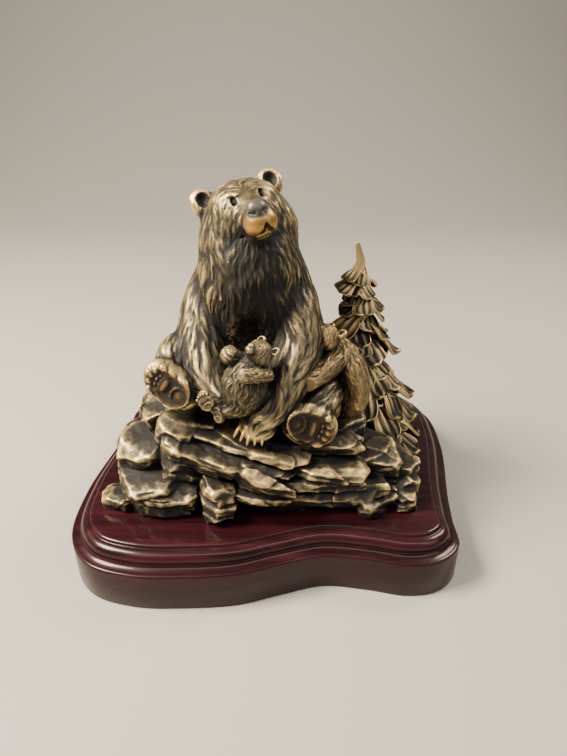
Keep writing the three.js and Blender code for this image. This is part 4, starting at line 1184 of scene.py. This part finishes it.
def base_outline(count):
    """Points and inward normals round the free-form outline, evenly spaced."""
    rows = np.array(BASE_HALF_OUTLINE + [(-x, -y) for x, y in BASE_HALF_OUTLINE], float)
    n = len(rows)
    fine = []
    for i in range(n):
        p0, p1, p2, p3 = (rows[(i + k) % n] for k in (-1, 0, 1, 2))
        t1 = np.linalg.norm(p1 - p0) ** 0.5
        t2 = t1 + np.linalg.norm(p2 - p1) ** 0.5
        t3 = t2 + np.linalg.norm(p3 - p2) ** 0.5
        for t in np.linspace(t1, t2, 24, endpoint=False):
            a1 = (t1 - t) / t1 * p0 + t / t1 * p1
            a2 = (t2 - t) / (t2 - t1) * p1 + (t - t1) / (t2 - t1) * p2
            a3 = (t3 - t) / (t3 - t2) * p2 + (t - t2) / (t3 - t2) * p3
            b1 = (t2 - t) / t2 * a1 + t / t2 * a2
            b2 = (t3 - t) / (t3 - t1) * a2 + (t - t1) / (t3 - t1) * a3
            fine.append((t2 - t) / (t2 - t1) * b1 + (t - t1) / (t2 - t1) * b2)
    fine = np.array(fine + [fine[0]])
    run = np.concatenate([[0], np.cumsum(np.linalg.norm(np.diff(fine, axis=0), axis=1))])
    s = np.linspace(0, run[-1], count, endpoint=False)
    p = np.stack([np.interp(s, run, fine[:, k]) for k in (0, 1)], 1)
    t = unit(np.roll(p, -2, 0) - np.roll(p, 2, 0))
    return p, np.stack([-t[:, 1], t[:, 0]], 1)


def base_profile():
    """Inset and height up the side: edge, cove, fillet, ovolo, ledge and rounded rim."""
    rows = [(1.2, 0), (0.3, 0.3), (0, 1.2), (0, 16), (0, 30.4), (0.3, 31.6), (1.0, 32.2)]
    for a in np.radians(np.arange(10, 91, 10)):
        rows.append((1 + 7 * math.sin(a), 32.2 + 3.8 * (1 - math.cos(a))))
    rows.append((8, 37.2))
    for a in np.radians(np.arange(10, 91, 10)):
        rows.append((8 + 6.5 * (1 - math.cos(a)), 37.2 + 6.5 * math.sin(a)))
    rows += [(15.4, 43.7), (15.5, 43.9), (15.6, 45.0)]
    for a in np.radians(np.arange(15, 91, 15)):
        rows.append((15.6 + 2.4 * (1 - math.cos(a)), 45.0 + 1.4 * math.sin(a)))
    return rows


def wooden_base():
    p, inward = base_outline(420)
    loops = [np.column_stack([p + inward * inset, np.full(len(p), height)]) for inset, height in base_profile()]
    rim = loops[-1]
    loops += [rim * (share, share, 1) for share in (0.985, 0.95, 0.7, 0.4)]
    foot = [loops[0] * (share, share, 1) for share in (0.4, 0.8, 0.985)]
    return object_of("moulded_base", *skin(np.array(foot + loops), (0, 0, 0), (0, 0, BASE_HEIGHT)))


# Finish and scene

def finish(obj, material, slot, node_name, shade, fine=6, sharp=1.0, wear_and_painted_light=0.0):
    """Writes what the patina, with its painted shade and light, reads at each point, and gives a piece its
    material and its place. fine is how many rounds of smoothing the relief is measured against, sharp its
    strength, and the last value is what is taken off it: worn-back patina, and where it is negative,
    painted light that makes the piece lighter."""
    points, tris = arrays_of(obj)
    normal = vertex_normals(points, tris)
    is_mother, is_leaning = obj.name == "mother_bear", obj.name == "leaning_cub"
    put(obj, "fine", np.clip(relief(points, tris, fine) * sharp - wear_and_painted_light, -1.2, 1.2))
    deepest = -0.4 if obj.name == "spruce_tree" else -3
    put(obj, "broad", np.clip(relief(points, tris, 40), deepest, 3))
    put(obj, "stone", np.full(len(points), 1.0 if obj.name == "rock_ledges" else 0.0))
    # The mother's nose, the bare ochre of her muzzle, her eyes and the insides of her soles
    q = MOTHER_HEAD.local(points)
    muzzle = np.clip((q[:, 1] - 30) / 7, 0, 1) * np.clip((0.5 - q[:, 2]) / 4, 0, 1)
    muzzle = muzzle * (np.abs(q[:, 0]) < 20) * np.clip((q[:, 2] + 18.5) / 2, 0, 1)
    bridge = 0.35 * np.clip((q[:, 1] - 26) / 6, 0, 1) * np.clip((8 - np.abs(q[:, 0])) / 3, 0, 1)
    muzzle = np.maximum(muzzle, bridge * (q[:, 2] > -8))
    nose = np.clip(1.35 - np.linalg.norm((q - (1.2, 44, -1)) / (7.2, 6.2, 5.6), axis=1), 0, 0.25) * 4
    eyes = sum(np.clip(1.3 - np.linalg.norm((q - (x * 9.6, 24, 10.4)) / (2.0, 6, 3.0), axis=1), 0, 0.3)
               / 0.3 for x in (-1, 1))
    inner = np.zeros(len(points))
    for place, length, width in SOLES:
        f = place.local(points)
        inside = np.hypot(f[:, 0] / (width / 2 - 1.5), f[:, 2] / (length / 2 - 1.5))
        inner = np.maximum(inner, np.clip((1 - inside) * 6, 0, 1) * (np.abs(f[:, 1] - 1) < 5))
    muzzle, nose, eyes, inner = (values * is_mother for values in (muzzle, nose, eyes, inner))
    # Patina and painted shade darken enclosed hollows, and painted shade of the head darkens under the chin
    # along with darker patina there; the leaning cub gets less painted shade and is painted lighter where the
    # mother keeps the key lamp off it, and is more golden
    chin_shade_and_patina = np.clip(1.25 - np.linalg.norm((points - THROAT) / THROAT_REACH, axis=1), 0, 0.6)
    enclosed_shade_and_patina = np.clip((shade.at(points, normal) - 0.12) * 1.7 + chin_shade_and_patina * 1.1, 0, 1)
    put(obj, "patina_and_painted_shade", np.clip(enclosed_shade_and_patina * (0.35 if is_leaning else 1.0) + 0.3 * inner, 0, 1))
    rich = 0.42 if is_leaning else 0.0
    put(obj, "gold", np.clip(muzzle * (1 - nose) + 0.6 * inner + rich, 0, 1))
    put(obj, "black", np.clip(nose, 0, 1))
    put(obj, "eye", np.clip(eyes, 0, 1))
    obj.data.materials.clear()
    obj.data.materials.append(material)
    obj.data.shade_smooth()
    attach(obj, "root")
    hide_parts(node_name)


bronze = antique_bronze()
mahogany = lacquered_mahogany()
shade = Shade((-160, -130, -4), (160, 130, 290))
castings = [
    mother(shade),
    cub("lap_cub", shade, (-54, -84, 122), (14, -40, 190), LAP_LIMBS, LAP_HEAD, 3, (9, 7, 6, 7, 5),
        LAP_SOLES, 1.2),
    cub("leaning_cub", shade, (12, -50, 90), (80, 22, 184), LEAN_LIMBS, LEAN_HEAD, 4, (10, 8, 12, 11),
        (), 1.35, 1.1),
    rocks(shade),
    spruce(shade, bronze),
    claws(bronze),
]
shade.close()
# The leaning cub's negative last value paints it lighter, as painted light where the mother keeps the key lamp
# off it
FINE = {
    "rock_ledges": (3, 1.1, 0.14), "spruce_tree": (3, 0.65, -0.04), "leaning_cub": (6, 1.1, -0.12),
}
for obj in castings:
    finish(obj, bronze, "antique_bronze", "bear_casting", shade, *FINE.get(obj.name, (6, 1.0, 0.0)))
base = wooden_base()
base.data.materials.append(mahogany)
base.data.shade_smooth()
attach(base, "root")
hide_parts("wooden_base")


def studio():
    """A plain pale sweep, soft lights and a camera at the photograph's angle."""
    rows = [(-1.6, 0.0), (0.9, 0.0)]
    rows += [(0.9 + 0.8 * math.sin(a), 0.8 * (1 - math.cos(a))) for a in np.radians(np.arange(10, 91, 10))]
    rows.append((1.7, 2.8))
    points = [(x, y, z) for y, z in rows for x in (-3.0, 3.0)]
    faces = [(2 * k, 2 * k + 1, 2 * k + 3, 2 * k + 2) for k in range(len(rows) - 1)]
    mesh = bpy.data.meshes.new("floor")
    mesh.from_pydata(points, [], faces)
    floor = bpy.data.objects.new("floor", mesh)
    bpy.context.scene.collection.objects.link(floor)
    mesh.shade_smooth()
    paper = bpy.data.materials.new("pale_paper")
    paper.use_nodes = True
    shader = paper.node_tree.nodes["Principled BSDF"]
    shader.inputs["Base Color"].default_value = linear("#9c9b97")
    shader.inputs["Roughness"].default_value = 0.9
    mesh.materials.append(paper)

    def lamp(name, spot, aim, size, power, colour="#ffffff"):
        data = bpy.data.lights.new(name, "AREA")
        data.shape = "RECTANGLE"
        data.size, data.size_y = size
        data.energy = power
        data.color = linear(colour)[:3]
        lamp_object = bpy.data.objects.new(name, data)
        bpy.context.scene.collection.objects.link(lamp_object)
        way = np.array(aim, float) - np.array(spot, float)
        lamp_object.location = spot
        lamp_object.rotation_euler = (math.atan2(math.hypot(way[0], way[1]), -way[2]), 0,
                                      math.atan2(-way[0], way[1]) if way[:2].any() else 0)
    lamp("key", (-0.8, -0.2, 1.0), (0, 0, 0.12), (0.5, 0.45), 72, "#ffeed4")
    lamp("fill", (0.9, -0.7, 0.8), (0, 0, 0.12), (0.7, 0.7), 3.5, "#eef3ff")
    lamp("strip", (0, -1.0, 1.75), (0, 0, 0.05), (2.4, 0.5), 17, "#fff4f0")
    lamp("back", (0.75, 0.35, 1.0), (0, 0, 0.15), (0.4, 0.4), 15, "#fff0d8")
    world = bpy.data.worlds.new("studio")
    world.use_nodes = True
    world.node_tree.nodes["Background"].inputs[0].default_value = linear("#e8ebee")
    world.node_tree.nodes["Background"].inputs[1].default_value = 0.13
    bpy.context.scene.world = world

    data = bpy.data.cameras.new("camera")
    data.sensor_fit = "VERTICAL"
    data.sensor_height = 24
    data.lens = 24 * 585 / 756
    data.clip_start = 0.01
    camera = bpy.data.objects.new("camera", data)
    bpy.context.scene.collection.objects.link(camera)
    camera.location = (8.6 * MM, -405.7 * MM, 351 * MM)
    camera.rotation_euler = (math.radians(90 - 29.5), 0, 0)
    bpy.context.scene.camera = camera


studio()
